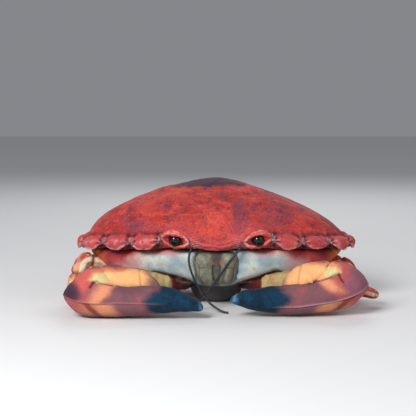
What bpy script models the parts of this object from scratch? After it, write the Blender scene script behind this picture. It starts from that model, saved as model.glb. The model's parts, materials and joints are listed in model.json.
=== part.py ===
"""Plush edible crab: a sewn, stuffed body with a gathered rim, bead eyes, claws and eight legs.

The crab faces -Y and stands on z = 0. Its own left is at +X.
Everything is laid out round the middle of the body, then parented to one empty that stands the
middle of the whole crab over the origin.
"""
import math

import bmesh
import bpy
from mathutils import Vector

# Clearance between pieces that are sewn or rest against each other
GAP = 0.0003

# Where the middle of the body stands, so that the crab's box is centred on the origin
STAND_X = -0.0053
STAND_Y = 0.0085

# Top shell: the line of its rim, seen from above
SHELL_HALF_WIDTH = 0.1100
SHELL_FRONT = 0.0500
SHELL_BACK = 0.0820
SHELL_MIDDLE_Y = -0.0160
SHELL_SQUARENESS = 2.3
BROW_REACH = 0.0035
BROW_HALF_WIDTH = 0.0160

# Top shell: heights
SHELL_TOP = 0.1008
SHELL_PEAK_X = 0.0020
SHELL_UNDERSIDE = 0.0470
RIM_HEIGHT = 0.0545
RIM_SIDE_DROP = 0.0040
BROW_DIP = 0.0035
EYE_ARCH = 0.0080
EYE_ARCH_HALF_WIDTH = 0.0110

# Gathered rim: lobes tied off with thread, as on a pie crust
LOBE_PITCH = 0.0245
LOBES_A_SIDE = 6
LOBE_COLUMNS = 5
BROW_COLUMNS = 8
BACK_COLUMNS = 8
BROW_LENGTH = 0.0450
TIE_ROLL_WIDTH = 0.0014
TIE_ROLL_HEIGHT = 0.0025
LOBE_ROLL_WIDTH = 0.0058
LOBE_ROLL_HEIGHT = 0.0062
LOBE_SAG = 0.0020
END_LOBE_GROWTH = 0.25
RIM_INSET = 0.0060

# Body below the rim: the cheeks turn under, and a narrow hump stands on the table behind them
HUMP_HALF_WIDTH = 0.0240
HUMP_FRONT = 0.0410
HUMP_BACK = 0.0440
BELLY_SHARE = 0.70

# Mouth panel
MOUTH_HALF_WIDTH = 0.0190
MOUTH_HALF_DEPTH = 0.0075
MOUTH_BOTTOM_SHARE = 0.37
MOUTH_BULGE = 0.0032
MOUTH_TAPER = 0.18
MOUTH_PROUD = 0.0030
MOUTH_LEAN = 0.22

# Eyes and lids
EYE_RADIUS = 0.0050
EYE_SPACING = 0.0325
EYE_HEIGHT = 0.0556
EYE_SINK = 0.0012
LID_HALF_WIDTH = 0.0108
LID_HALF_HEIGHT = 0.0056
LID_UPPER_ROLL = 0.0030
LID_LOWER_ROLL = 0.0021
LID_CORNER_ROLL = 0.0010
LID_LEAN = 0.25
LID_TILT = 0.16

# Antennae
CORD_DIAMETER = 0.0018

# Claws: the crab's left one lies a little further back, with its palm a little higher
CLAW_OUTER_REACH = 0.1170
CLAW_TIP_REACH = 0.0095
CLAW_HALF_HEIGHT = 0.0200
CLAW_Y = {1: -0.0880, -1: -0.0960}
FINGER_REACH = {1: 0.62, -1: 0.69}

# Sleeves and legs
ARM_HALF_HEIGHT = 0.0095
LEG_HALF_HEIGHT = 0.0078
LEG_HALF_THICKNESS = 0.0080

LEFT, RIGHT = 1, -1
SIDE_NAMES = {LEFT: "left", RIGHT: "right"}


def clear_scene():
    """Take away what the start-up file holds."""
    for obj in list(bpy.data.objects):
        bpy.data.objects.remove(obj, do_unlink=True)


def new_collection(name):
    """A collection of the given name, linked to the scene."""
    collection = bpy.data.collections.new(name)
    bpy.context.scene.collection.children.link(collection)
    return collection


def fabric(name, color, roughness=0.85):
    """A plain Principled material."""
    material = bpy.data.materials.new(name)
    material.use_nodes = True
    shader = material.node_tree.nodes["Principled BSDF"]
    shader.inputs["Base Color"].default_value = (*color, 1.0)
    shader.inputs["Roughness"].default_value = roughness
    shader.inputs["Metallic"].default_value = 0.0
    return material


def finish(bm, name, collection, material, smooth_angle=50):
    """Turn a bmesh into a named object with its own material.

    Its faces become triangles, so that a piece and the cutter grown from it fold the same way.
    """
    bmesh.ops.triangulate(bm, faces=bm.faces[:])
    if bm.calc_volume(signed=True) < 0:
        bmesh.ops.reverse_faces(bm, faces=bm.faces)
    mesh = bpy.data.meshes.new(name)
    bm.to_mesh(mesh)
    bm.free()
    mesh.shade_smooth()
    mesh.set_sharp_from_angle(angle=math.radians(smooth_angle))
    obj = bpy.data.objects.new(name, mesh)
    obj.data.materials.append(material)
    collection.objects.link(obj)
    return obj


def grown_cutter(obj, cutters):
    """A copy of a piece that is larger by the clearance all round, kept as a hidden cutter."""
    bm = bmesh.new()
    bm.from_mesh(obj.data)
    bm.normal_update()
    for vert in bm.verts:
        vert.co += vert.normal * GAP
    mesh = bpy.data.meshes.new(f"{obj.name}_clearance")
    bm.to_mesh(mesh)
    bm.free()
    cutter = bpy.data.objects.new(mesh.name, mesh)
    cutter.hide_render = True
    cutter.display_type = "WIRE"
    cutters.objects.link(cutter)
    return cutter


def cut(obj, cutter):
    """Cut the cutter out of a piece with a live Boolean."""
    boolean = obj.modifiers.new(f"room_for_{cutter.name}", "BOOLEAN")
    boolean.operation = "DIFFERENCE"
    boolean.object = cutter


def bell(distance, half_width):
    """A smooth bump of height 1 that has faded at about twice its half width."""
    return math.exp(-((distance / half_width) ** 2))


def at_station(stations, place):
    """Read rows of (place, values...) along a smooth curve through them."""
    last = len(stations) - 2
    k = next((k for k in range(last) if place < stations[k + 1][0]), last)
    before, start = stations[max(k - 1, 0)], stations[k]
    end, after = stations[k + 1], stations[min(k + 2, len(stations) - 1)]
    span = end[0] - start[0]
    t = (place - start[0]) / span
    values = []
    for column in range(1, len(start)):
        leave = (end[column] - before[column]) / (end[0] - before[0]) * span
        arrive = (after[column] - start[column]) / (after[0] - start[0]) * span
        rise = end[column] - start[column]
        bend = t * (1 - t) * ((leave - rise) * (1 - t) + (rise - arrive) * t)
        values.append(start[column] + rise * t + bend)
    return values


def stuffed(stations, sides, rings, blunt, ridge=0.0, upright=False):
    """A closed stuffed form: a sphere drawn out along its stations.

    Each station is a row of place (0 to 1), x, y, z, half height and half thickness. A ridge
    stands out along the two seams that run down the front and the back of the form. Its
    sections stand square to the route, or upright.
    """
    bm = bmesh.new()
    bmesh.ops.create_uvsphere(bm, u_segments=sides, v_segments=rings, radius=1)
    step = 0.01
    for vert in bm.verts:
        reach = math.hypot(vert.co.x, vert.co.y)
        across, over = (vert.co.x / reach, vert.co.y / reach) if reach > 1e-6 else (0, 0)
        place = (1 - vert.co.z) / 2
        swell = (1 - min(abs(vert.co.z), 1) ** blunt) ** (1 / blunt)
        x, y, z, high, thick = at_station(stations, place)
        ahead = at_station(stations, min(place + step, 1))
        behind = at_station(stations, max(place - step, 0))
        along = Vector(ahead[:3]) - Vector(behind[:3])
        if upright:
            along.z = 0.0
        along.normalize()
        side = along.cross(Vector((0, 0, 1))).normalized()
        up = side.cross(along)
        swell *= 1 + ridge * abs(across) ** 40
        vert.co = Vector((x, y, z)) + (side * thick * across + up * high * over) * swell
    return bm


class RimLine:
    """The line of the shell's rim, measured along its length from the brow to the back."""

    def __init__(self, samples=720):
        self.points = [self.outline(math.pi * k / samples) for k in range(samples + 1)]
        self.lengths = [0.0]
        for a, b in zip(self.points, self.points[1:]):
            self.lengths.append(self.lengths[-1] + (b - a).length)
        self.half_length = self.lengths[-1]

    @staticmethod
    def outline(angle):
        """A point of the half outline at +X, from the front (0) to the back (pi)."""
        power = 2 / SHELL_SQUARENESS
        x = SHELL_HALF_WIDTH * abs(math.sin(angle)) ** power
        forward = math.cos(angle)
        if forward > 0:
            y = SHELL_MIDDLE_Y - SHELL_FRONT * forward**power
            y -= BROW_REACH * bell(x, BROW_HALF_WIDTH)
        else:
            y = SHELL_MIDDLE_Y + SHELL_BACK * abs(forward) ** power
        return Vector((x, y))

    def at(self, length):
        """The point at a length along the rim, and the direction outwards there."""
        length = min(max(length, 0.0), self.half_length)
        k = next(i for i in range(1, len(self.lengths)) if length <= self.lengths[i])
        before, after = self.points[k - 1], self.points[k]
        share = (length - self.lengths[k - 1]) / (self.lengths[k] - self.lengths[k - 1])
        wide = self.points[min(k + 4, len(self.points) - 1)] - self.points[max(k - 5, 0)]
        outward = Vector((wide.y, -wide.x)).normalized()
        return before.lerp(after, share), outward

    def front_y(self, x):
        """How far forward the rim stands at a distance from the middle plane."""
        near = min(self.points[: len(self.points) // 2], key=lambda p: abs(p.x - abs(x)))
        return near.y


def plain_rim_height(x):
    """Height of the rim line without the face: it sinks a little towards the sides."""
    return RIM_HEIGHT - RIM_SIDE_DROP * min(abs(x) / SHELL_HALF_WIDTH, 1.0) ** 3


def face_rise(x, y):
    """How far the rim line rises for the face: it dips at the brow and arches over each eye."""
    if y > SHELL_MIDDLE_Y:
        return 0.0
    rise = EYE_ARCH * bell(abs(x) - EYE_SPACING, EYE_ARCH_HALF_WIDTH)
    return rise - BROW_DIP * bell(x, BROW_HALF_WIDTH)


def column_length(column):
    """Where a column of the shell's mesh meets the rim line, as a length from the brow."""
    lobes = LOBE_COLUMNS * LOBES_A_SIDE
    if column <= BROW_COLUMNS:
        return BROW_LENGTH * column / BROW_COLUMNS
    if column <= BROW_COLUMNS + lobes:
        return BROW_LENGTH + LOBE_PITCH * (column - BROW_COLUMNS) / LOBE_COLUMNS
    rest = RIM.half_length - BROW_LENGTH - LOBE_PITCH * LOBES_A_SIDE
    return RIM.half_length - rest * (1 - (column - BROW_COLUMNS - lobes) / BACK_COLUMNS)


def lobe_fullness(length):
    """How full the gathered rim is: 0 where a thread ties it in, 1 at the crown of a lobe."""
    gathered = length - BROW_LENGTH
    if gathered <= 0:
        return 0.35
    if gathered >= LOBE_PITCH * LOBES_A_SIDE:
        return 0.25
    wave = abs(math.sin(math.pi * gathered / LOBE_PITCH)) ** 0.7
    fade = 1 - 0.6 * max(0.0, gathered / (LOBE_PITCH * LOBES_A_SIDE) - 0.6) / 0.4
    return wave * fade


RIM = RimLine()


def dome_share(sideways, rho):
    """Height of the dome as a share of its rise.

    The crab's right shoulder is fuller than its left one, and the front and back are the fullest.
    """
    fullness_right, fullness_left, fullness_ends = (1.38, 0.53), (1.12, 0.66), (1.75, 0.62)
    shoulder = fullness_left if sideways > 0 else fullness_right
    weight = sideways**2
    power = fullness_ends[0] + (shoulder[0] - fullness_ends[0]) * weight
    root = fullness_ends[1] + (shoulder[1] - fullness_ends[1]) * weight
    return (1 - rho**power) ** root


def make_carapace(parts):
    """Top shell: dome, gathered rim and flat underside, from one sphere shaped by formulas."""
    columns = 2 * (BROW_COLUMNS + LOBE_COLUMNS * LOBES_A_SIDE + BACK_COLUMNS)
    dome_rings = 6
    face_fade = 7
    roll_angles = (58, 16, -26, -68)
    under_shares = (1.0, 0.5)
    rings = dome_rings + len(roll_angles) + len(under_shares) + 1
    bm = bmesh.new()
    bmesh.ops.create_uvsphere(bm, u_segments=columns, v_segments=rings, radius=1)
    peak = Vector((SHELL_PEAK_X, 0.0))
    for vert in bm.verts:
        ring = round(math.acos(max(-1, min(1, vert.co.z))) / math.pi * rings)
        angle = math.atan2(vert.co.x, -vert.co.y)
        side = math.copysign(1, angle)
        length = column_length(round(abs(angle) / math.pi * columns / 2))
        point, outward = RIM.at(length)
        plain = plain_rim_height(point.x)
        face = face_rise(point.x, point.y)
        point = Vector((side * point.x, point.y))
        outward = Vector((side * outward.x, outward.y))
        full = lobe_fullness(length)
        full *= 1 + END_LOBE_GROWTH * (abs(point.x) / SHELL_HALF_WIDTH) ** 12
        roll_width = TIE_ROLL_WIDTH + (LOBE_ROLL_WIDTH - TIE_ROLL_WIDTH) * full
        roll_height = TIE_ROLL_HEIGHT + (LOBE_ROLL_HEIGHT - TIE_ROLL_HEIGHT) * full
        tuck = point - outward * RIM_INSET * 0.7
        tuck_height = plain + TIE_ROLL_HEIGHT
        if ring == 0:
            vert.co = (*peak, SHELL_TOP)
        elif ring <= dome_rings:
            rho = math.sin(math.pi / 2 * ring / dome_rings)
            plan = peak.lerp(tuck, rho)
            sideways = tuck.x / SHELL_HALF_WIDTH
            rise = SHELL_TOP - tuck_height
            height = tuck_height + rise * dome_share(sideways, rho) + face * rho**face_fade
            vert.co = (*plan, height)
        elif ring <= dome_rings + len(roll_angles):
            roll = math.radians(roll_angles[ring - dome_rings - 1])
            plan = point + outward * (roll_width * math.cos(roll) - RIM_INSET * 0.35)
            height = plain + face - LOBE_SAG * full + roll_height * math.sin(roll)
            vert.co = (*plan, height)
        elif ring < rings:
            share = under_shares[ring - dome_rings - len(roll_angles) - 1]
            plan = peak.lerp(point - outward * RIM_INSET, share)
            vert.co = (*plan, SHELL_UNDERSIDE)
        else:
            vert.co = (*peak, SHELL_UNDERSIDE)
    return finish(bm, "carapace", parts, fabric("shell_print", (0.55, 0.06, 0.045)))


def underbody_rows():
    """Rows of the underbody from top to bottom.

    Each row is: share of the rim outline against the hump outline, size, then the height at the
    front, at the sides and at the back, as shares of the height of the body's top.
    """
    return (
        (1.00, 1.00, 1.00, 1.00, 1.00),
        (1.00, 1.00, 0.91, 0.92, 0.92),
        (0.98, 1.00, 0.72, 0.83, 0.82),
        (0.92, 1.00, 0.54, 0.76, 0.76),
        (0.78, 1.00, 0.44, 0.72, 0.72),
        (0.45, 1.00, 0.38, 0.64, 0.64),
        (0.15, 1.00, 0.34, 0.55, 0.55),
        (0.00, 1.00, 0.27, 0.40, 0.40),
        (0.00, 0.93, 0.16, 0.22, 0.22),
        (0.00, 0.84, 0.07, 0.07, 0.07),
        (0.00, BELLY_SHARE, 0.0, 0.0, 0.0),
        (0.00, BELLY_SHARE * 0.5, 0.0, 0.0, 0.0),
    )


def make_underbody(parts):
    """Cheeks and belly: rings that pass from the rim's outline to the narrow hump below."""
    rows = underbody_rows()
    top = SHELL_UNDERSIDE - GAP
    columns = 44
    rings = len(rows) + 2
    bm = bmesh.new()
    bmesh.ops.create_uvsphere(bm, u_segments=columns, v_segments=rings, radius=1)
    middle = Vector((0.0, (HUMP_BACK - HUMP_FRONT) / 2))
    for vert in bm.verts:
        ring = round(math.acos(max(-1, min(1, vert.co.z))) / math.pi * rings)
        angle = math.atan2(vert.co.x, -vert.co.y)
        side = math.copysign(1, angle)
        point, outward = RIM.at(abs(angle) / math.pi * RIM.half_length)
        point -= outward * (RIM_INSET + GAP)
        wide = Vector((side * point.x, point.y))
        deep = HUMP_FRONT if math.cos(angle) > 0 else HUMP_BACK
        hump_x = math.copysign(abs(math.sin(angle)) ** 0.8, angle) * HUMP_HALF_WIDTH
        hump_y = -math.copysign(abs(math.cos(angle)) ** 0.8, math.cos(angle)) * deep
        hump = Vector((hump_x, hump_y))
        if ring == 0:
            vert.co = (*middle, top)
            continue
        if ring == 1:
            vert.co = (*middle.lerp(wide, 0.5), top)
            continue
        if ring == rings:
            vert.co = (*middle, 0.0)
            continue
        share, size, front, flank, back = rows[ring - 2]
        plan = middle + (hump.lerp(wide, share) - middle) * size
        facing = math.cos(angle)
        end = front if facing > 0 else back
        height = top * (flank + (end - flank) * facing**4)
        vert.co = (*plan, height)
    return finish(bm, "underbody", parts, fabric("belly_print", (0.55, 0.55, 0.50)))


def rounded(value, power):
    """Push a coordinate of the unit sphere outwards, towards a cushion's box form."""
    return math.copysign(abs(value) ** power, value)


def make_mouth_panel(parts):
    """Gusset between the cheeks: a tapered cushion whose front swells into two mouth plates."""
    top = SHELL_UNDERSIDE - GAP
    bottom = top * MOUTH_BOTTOM_SHARE
    half_height = (top - bottom) / 2
    front_y = RIM.front_y(0.0) + RIM_INSET - MOUTH_PROUD
    bm = bmesh.new()
    bmesh.ops.create_uvsphere(bm, u_segments=20, v_segments=12, radius=1)
    for vert in bm.verts:
        across = rounded(vert.co.x, 0.6)
        deep = rounded(vert.co.y, 0.7)
        high = rounded(vert.co.z, 0.6)
        width = MOUTH_HALF_WIDTH * (1 - MOUTH_TAPER * (1 - high) / 2)
        z = bottom + half_height * (1 + high)
        y = front_y + MOUTH_HALF_DEPTH * (1 + deep) + MOUTH_LEAN * (top - z)
        if vert.co.y < 0:
            plates = math.sin(math.pi * min(abs(across) / 0.9, 1))
            y -= MOUTH_BULGE * plates * (1 - high**2) * -deep
        vert.co = (width * across, y, z)
    return finish(bm, "mouth_panel", parts, fabric("mouth_print", (0.40, 0.36, 0.28)))


def make_eye(side, parts):
    """Black bead."""
    name = f"eye_{SIDE_NAMES[side]}"
    bm = bmesh.new()
    bmesh.ops.create_uvsphere(bm, u_segments=12, v_segments=8, radius=EYE_RADIUS)
    y = RIM.front_y(EYE_SPACING) + EYE_SINK
    bmesh.ops.translate(bm, verts=bm.verts, vec=(side * EYE_SPACING, y, EYE_HEIGHT))
    return finish(bm, name, parts, fabric(f"{name}_bead", (0.004, 0.004, 0.005), 0.08))


def make_eyelid(side, parts):
    """Almond ring of rolled fabric: a thick upper lid, a thin lower one, pinched corners."""
    name = f"eyelid_{SIDE_NAMES[side]}"
    bpy.ops.mesh.primitive_torus_add(
        major_segments=18, minor_segments=6, major_radius=1.0, minor_radius=0.25
    )
    ring = bpy.context.object
    bm = bmesh.new()
    bm.from_mesh(ring.data)
    bpy.data.objects.remove(ring, do_unlink=True)
    for vert in bm.verts:
        around = math.atan2(vert.co.y, vert.co.x)
        outward = (math.hypot(vert.co.x, vert.co.y) - 1.0) / 0.25
        forward = vert.co.z / 0.25
        rise = math.sin(around)
        roll = LID_UPPER_ROLL if rise > 0 else LID_LOWER_ROLL
        roll = LID_CORNER_ROLL + (roll - LID_CORNER_ROLL) * abs(rise) ** 0.8
        x = math.cos(around) * (LID_HALF_WIDTH + roll * outward)
        z = rounded(rise, 1.4) * LID_HALF_HEIGHT + rise * roll * outward
        base = RIM.front_y(EYE_SPACING + x * 0.9)
        y = base - LID_LEAN * z - roll * forward
        z += LID_TILT * x
        vert.co = (side * EYE_SPACING + side * x, y, EYE_HEIGHT + z)
    return finish(bm, name, parts, fabric(f"{name}_print", (0.50, 0.10, 0.12)))


def claw_stations(side):
    """Stations of the palm and fixed finger, from the outer end to the tip.

    Each row is: place, height of the middle, half height, half thickness, distance back and how
    much higher the crab's left claw lies there, all but the place as shares of the palm's half
    height.
    """
    outer, tip, size = CLAW_OUTER_REACH, CLAW_TIP_REACH, CLAW_HALF_HEIGHT
    rows = (
        (0.000, 0.86, 0.25, 0.45, 0.40, 0.22),
        (0.045, 0.87, 0.51, 0.66, 0.35, 0.32),
        (0.090, 0.87, 0.72, 0.78, 0.30, 0.30),
        (0.136, 0.89, 0.87, 0.84, 0.22, 0.26),
        (0.190, 0.97, 0.98, 0.87, 0.15, 0.20),
        (0.240, 1.00, 1.00, 0.88, 0.12, 0.16),
        (0.290, 0.95, 0.93, 0.86, 0.10, 0.15),
        (0.345, 0.75, 0.72, 0.78, 0.04, 0.14),
        (0.400, 0.66, 0.61, 0.73, 0.00, 0.08),
        (0.525, 0.67, 0.57, 0.66, -0.08, -0.02),
        (0.670, 0.72, 0.54, 0.58, -0.15, -0.07),
        (0.776, 0.71, 0.48, 0.51, -0.22, -0.02),
        (0.888, 0.62, 0.35, 0.40, -0.32, 0.09),
        (0.958, 0.54, 0.24, 0.28, -0.40, 0.16),
        (1.000, 0.48, 0.16, 0.18, -0.44, 0.20),
    )
    return tuple(
        (
            place, side * (outer + (tip - outer) * place), CLAW_Y[side] + back * size,
            (middle + (lift if side == LEFT else 0)) * size, high * size, thick * size,
        )
        for place, middle, high, thick, back, lift in rows
    )


def make_claw(side, parts):
    """Palm and fixed finger: one pillow with a seam ridge down its front and back."""
    name = f"claw_{SIDE_NAMES[side]}"
    bm = stuffed(claw_stations(side), sides=18, rings=22, blunt=5.0, ridge=0.05, upright=True)
    return finish(bm, name, parts, fabric(f"{name}_print", (0.45, 0.12, 0.12)))


def make_claw_finger(side, parts):
    """Upper finger: it grows from the palm's crown and rests behind the fixed finger.

    Its rows are: place, distance in from the claw's outer end as a share of the claw's length,
    then the same shares of the palm's half height as in the claw's rows.
    """
    name = f"claw_finger_{SIDE_NAMES[side]}"
    length, size = CLAW_OUTER_REACH - CLAW_TIP_REACH, CLAW_HALF_HEIGHT
    root = 0.20
    rows = (
        (0.00, 0.00, 1.32, 0.64, 0.62, 0.30),
        (0.24, 0.24, 1.41, 0.64, 0.65, 0.32),
        (0.50, 0.52, 1.31, 0.61, 0.62, 0.36),
        (0.80, 0.80, 1.20, 0.54, 0.52, 0.42),
        (1.00, 1.00, 1.02, 0.36, 0.36, 0.44),
    )
    lift = 0.08 if side == LEFT else 0.0
    stations = tuple(
        (
            place, side * (CLAW_OUTER_REACH - length * (root + (FINGER_REACH[side] - root) * run)),
            CLAW_Y[side] + back * size, (middle + lift) * size, high * size, thick * size,
        )
        for place, run, middle, high, thick, back in rows
    )
    bm = stuffed(stations, sides=14, rings=14, blunt=3.5, upright=True)
    return finish(bm, name, parts, fabric(f"{name}_print", (0.85, 0.50, 0.22)))


def make_arm(side, parts):
    """Sleeve behind the claw, with the narrow root that goes in under the body.

    Its rows are: place, shares of the shell's half width, of its front reach and of the rim's
    height, then half height and half thickness as shares of the sleeve's half height.
    """
    name = f"arm_{SIDE_NAMES[side]}"
    rows = (
        (0.00, 0.15, -0.64, 0.29, 0.58, 0.58),
        (0.22, 0.26, -0.96, 0.35, 0.62, 0.62),
        (0.30, 0.31, -1.08, 0.38, 0.88, 0.84),
        (0.60, 0.54, -1.30, 0.46, 1.00, 0.95),
        (1.00, 0.80, -1.52, 0.43, 0.95, 0.95),
    )
    stations = tuple(
        (
            place, side * wide * SHELL_HALF_WIDTH, ahead * SHELL_FRONT, up * RIM_HEIGHT,
            high * ARM_HALF_HEIGHT, thick * ARM_HALF_HEIGHT,
        )
        for place, wide, ahead, up, high, thick in rows
    )
    bm = stuffed(stations, sides=10, rings=12, blunt=3.0)
    return finish(bm, name, parts, fabric(f"{name}_print", (0.75, 0.65, 0.38)))


def leg_routes():
    """Route of each leg from its root under the body over its knee to its tip.

    Each point is given as shares of the shell's half width, its back reach and the rim's height.
    The front pair reaches out beside the claws. The others are alike on both sides.
    """
    routes = {
        (LEFT, 1): ((0.18, -0.32, 0.28), (0.62, -0.42, 0.36), (0.92, -0.53, 0.30), (1.20, -0.57, 0.15)),
        (RIGHT, 1): ((0.18, -0.32, 0.28), (0.66, -0.24, 0.46), (0.97, -0.36, 0.66), (1.08, -0.47, 0.12)),
        (LEFT, 2): ((0.18, -0.10, 0.28), (0.70, -0.10, 0.48), (0.99, -0.10, 0.52), (1.06, -0.08, 0.14)),
        (RIGHT, 2): ((0.18, -0.10, 0.28), (0.67, 0.02, 0.50), (0.92, 0.07, 0.55), (0.99, 0.10, 0.14)),
    }
    for side in (LEFT, RIGHT):
        routes[side, 3] = ((0.18, 0.12, 0.28), (0.60, 0.41, 0.50), (0.80, 0.61, 0.50), (0.89, 0.73, 0.14))
        routes[side, 4] = ((0.15, 0.32, 0.24), (0.42, 0.73, 0.44), (0.55, 0.98, 0.42), (0.64, 1.12, 0.13))
    return routes


def make_leg(side, number, parts):
    """Walking leg: a flat sewn tube with a soft knee and a narrower, blunt tip."""
    name = f"leg_{SIDE_NAMES[side]}_{number}"
    sizes = (
        (0.00, 0.70, 0.80),
        (0.45, 0.92, 1.00),
        (0.75, 0.90, 0.95),
        (1.00, 0.55, 0.68),
    )
    stations = tuple(
        (
            place, side * wide * SHELL_HALF_WIDTH, along * SHELL_BACK, up * RIM_HEIGHT,
            high * LEG_HALF_HEIGHT, thick * LEG_HALF_THICKNESS,
        )
        for (wide, along, up), (place, high, thick) in zip(leg_routes()[side, number], sizes)
    )
    bm = stuffed(stations, sides=8, rings=12, blunt=6.0)
    return finish(bm, name, parts, fabric(f"{name}_print", (0.60, 0.18, 0.08)))


def antenna_route(side):
    """Points of an antenna from the corner of the mouth panel to its end on the table."""
    right = (
        (-19.6, -65.5, 50.0),
        (-21.6, -66.8, 42.0),
        (-20.6, -68.5, 34.0),
        (-16.4, -70.5, 23.4),
        (-10.8, -73.0, 14.0),
        (-4.5, -76.0, 7.0),
        (3.4, -79.0, 2.2),
        (9.0, -81.0, 1.1),
    )
    left = (
        (18.9, -65.5, 50.0),
        (15.2, -67.0, 45.0),
        (9.4, -67.6, 38.0),
        (3.2, -67.5, 28.6),
        (-1.8, -67.0, 22.0),
        (-6.8, -67.0, 15.6),
        (-12.0, -67.0, 8.4),
        (-17.0, -67.5, 1.4),
    )
    return [Vector(point) / 1000 for point in (left if side == LEFT else right)]


def make_antenna(side, parts):
    """Waxed cord: a round tube along its route."""
    name = f"antenna_{SIDE_NAMES[side]}"
    route = antenna_route(side)
    rows = tuple((k, *point) for k, point in enumerate(route))
    points_a_span = 2
    count = (len(route) - 1) * points_a_span
    curve = bpy.data.curves.new(name, "CURVE")
    curve.dimensions = "3D"
    curve.bevel_depth = CORD_DIAMETER / 2
    curve.bevel_resolution = 2
    curve.use_fill_caps = True
    spline = curve.splines.new("POLY")
    spline.points.add(count)
    for k, point in enumerate(spline.points):
        point.co = (*at_station(rows, k / points_a_span), 1.0)
    obj = bpy.data.objects.new(name, curve)
    obj.data.materials.append(fabric(f"{name}_wax", (0.012, 0.014, 0.018), 0.45))
    parts.objects.link(obj)
    return obj


def build():
    """Make every piece, cut the seats that they share and stand the crab over the origin."""
    clear_scene()
    parts = new_collection("plush_crab")
    cutters = new_collection("cutters")
    carapace = make_carapace(parts)
    underbody = make_underbody(parts)
    mouth = make_mouth_panel(parts)
    cut(underbody, grown_cutter(mouth, cutters))
    body_room = grown_cutter(underbody, cutters)
    pieces = [carapace, underbody, mouth]
    for side in (LEFT, RIGHT):
        eye = make_eye(side, parts)
        lid = make_eyelid(side, parts)
        cut(carapace, grown_cutter(lid, cutters))
        eye_room = grown_cutter(eye, cutters)
        cut(carapace, eye_room)
        cut(lid, eye_room)
        claw = make_claw(side, parts)
        claw_room = grown_cutter(claw, cutters)
        finger = make_claw_finger(side, parts)
        cut(finger, claw_room)
        arm = make_arm(side, parts)
        cut(arm, body_room)
        cut(arm, claw_room)
        cut(arm, grown_cutter(finger, cutters))
        legs = [make_leg(side, number, parts) for number in (1, 2, 3, 4)]
        for leg in legs:
            cut(leg, body_room)
        antenna = make_antenna(side, parts)
        pieces += [eye, lid, claw, finger, arm, antenna, *legs]
    stand = bpy.data.objects.new("crab", None)
    parts.objects.link(stand)
    for obj in [*pieces, *cutters.objects]:
        obj.parent = stand
    stand.location = (STAND_X, STAND_Y, 0.0)


build()
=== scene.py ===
"""The looks of a stuffed cloth crab: printed covers, a gathered rim, bead eyes and waxed cords."""
import json
import logging
import math
from dataclasses import dataclass
from enum import Enum

import bmesh
import bpy
import numpy as np
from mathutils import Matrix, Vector
from mathutils.bvhtree import BVHTree
from mathutils.kdtree import KDTree

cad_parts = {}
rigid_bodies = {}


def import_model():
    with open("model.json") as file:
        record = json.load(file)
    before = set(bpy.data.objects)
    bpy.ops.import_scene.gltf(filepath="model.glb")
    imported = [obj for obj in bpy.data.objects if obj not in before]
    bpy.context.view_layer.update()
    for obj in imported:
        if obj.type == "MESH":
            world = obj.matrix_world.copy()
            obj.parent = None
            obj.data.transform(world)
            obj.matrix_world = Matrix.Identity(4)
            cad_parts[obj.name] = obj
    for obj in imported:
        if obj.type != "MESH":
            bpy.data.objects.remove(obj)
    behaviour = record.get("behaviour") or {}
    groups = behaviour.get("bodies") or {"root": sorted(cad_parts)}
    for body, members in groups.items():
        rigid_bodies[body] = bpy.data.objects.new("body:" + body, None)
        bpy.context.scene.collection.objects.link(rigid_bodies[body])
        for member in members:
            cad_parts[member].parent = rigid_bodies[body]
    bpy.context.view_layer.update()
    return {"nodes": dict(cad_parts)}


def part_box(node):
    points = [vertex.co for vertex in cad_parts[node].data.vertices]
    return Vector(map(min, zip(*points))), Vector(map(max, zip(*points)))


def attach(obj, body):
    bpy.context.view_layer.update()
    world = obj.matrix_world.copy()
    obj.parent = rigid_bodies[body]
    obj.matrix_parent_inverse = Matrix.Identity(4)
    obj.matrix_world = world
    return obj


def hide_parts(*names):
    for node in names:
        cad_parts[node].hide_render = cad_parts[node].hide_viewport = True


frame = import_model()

LOG = logging.getLogger("crab")
MM = 0.001
TO_MM = 1000.0
MIDDLE_X = -0.0053
STAND = np.array((MIDDLE_X, 0.0085, 0.0))
BODY = "root"
Triple = tuple[float, float, float]
Colour = Triple
Line = tuple[tuple[float, float], ...]
Route = tuple[Triple, ...]


class Side(Enum):
    """The crab's own sides, as the sign of X."""

    LEFT = 1
    RIGHT = -1

    @property
    def word(self) -> str:
        """The side's name in the names of nodes."""
        return self.name.lower()


def paint(red: int, green: int, blue: int) -> Colour:
    """Turn an 8-bit screen colour into linear values.

    Args:
        red: Red, 0 to 255.
        green: Green, 0 to 255.
        blue: Blue, 0 to 255.

    Returns:
        The linear colour.
    """
    return tuple(
        c / 12.92 if c <= 0.04045 else ((c + 0.055) / 1.055) ** 2.4
        for c in (red / 255, green / 255, blue / 255)
    )


def bell(distance: np.ndarray, half_width: float) -> np.ndarray:
    """A smooth bump of height 1 round distance 0."""
    return np.exp(-((distance / half_width) ** 2))


def ease(values: np.ndarray, low: float, high: float) -> np.ndarray:
    """Smooth step from 0 at low to 1 at high; low may be the larger one."""
    t = np.clip((values - low) / (high - low), 0, 1)
    return t * t * (3 - 2 * t)


def stroke(x: np.ndarray, z: np.ndarray, points: Line, width: float) -> np.ndarray:
    """Closeness to a line drawn through points.

    Args:
        x: Places across.
        z: Places up.
        points: The line's corners.
        width: Half width of the line.

    Returns:
        1 on the line, 0 away from it.
    """
    apart = np.full(len(x), 1e3)
    for (x0, z0), (x1, z1) in zip(points, points[1:]):
        wide, tall = x1 - x0, z1 - z0
        run = np.clip(((x - x0) * wide + (z - z0) * tall) / (wide**2 + tall**2), 0, 1)
        apart = np.minimum(apart, np.hypot(x - x0 - run * wide, z - z0 - run * tall))
    return bell(apart, width)


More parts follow.
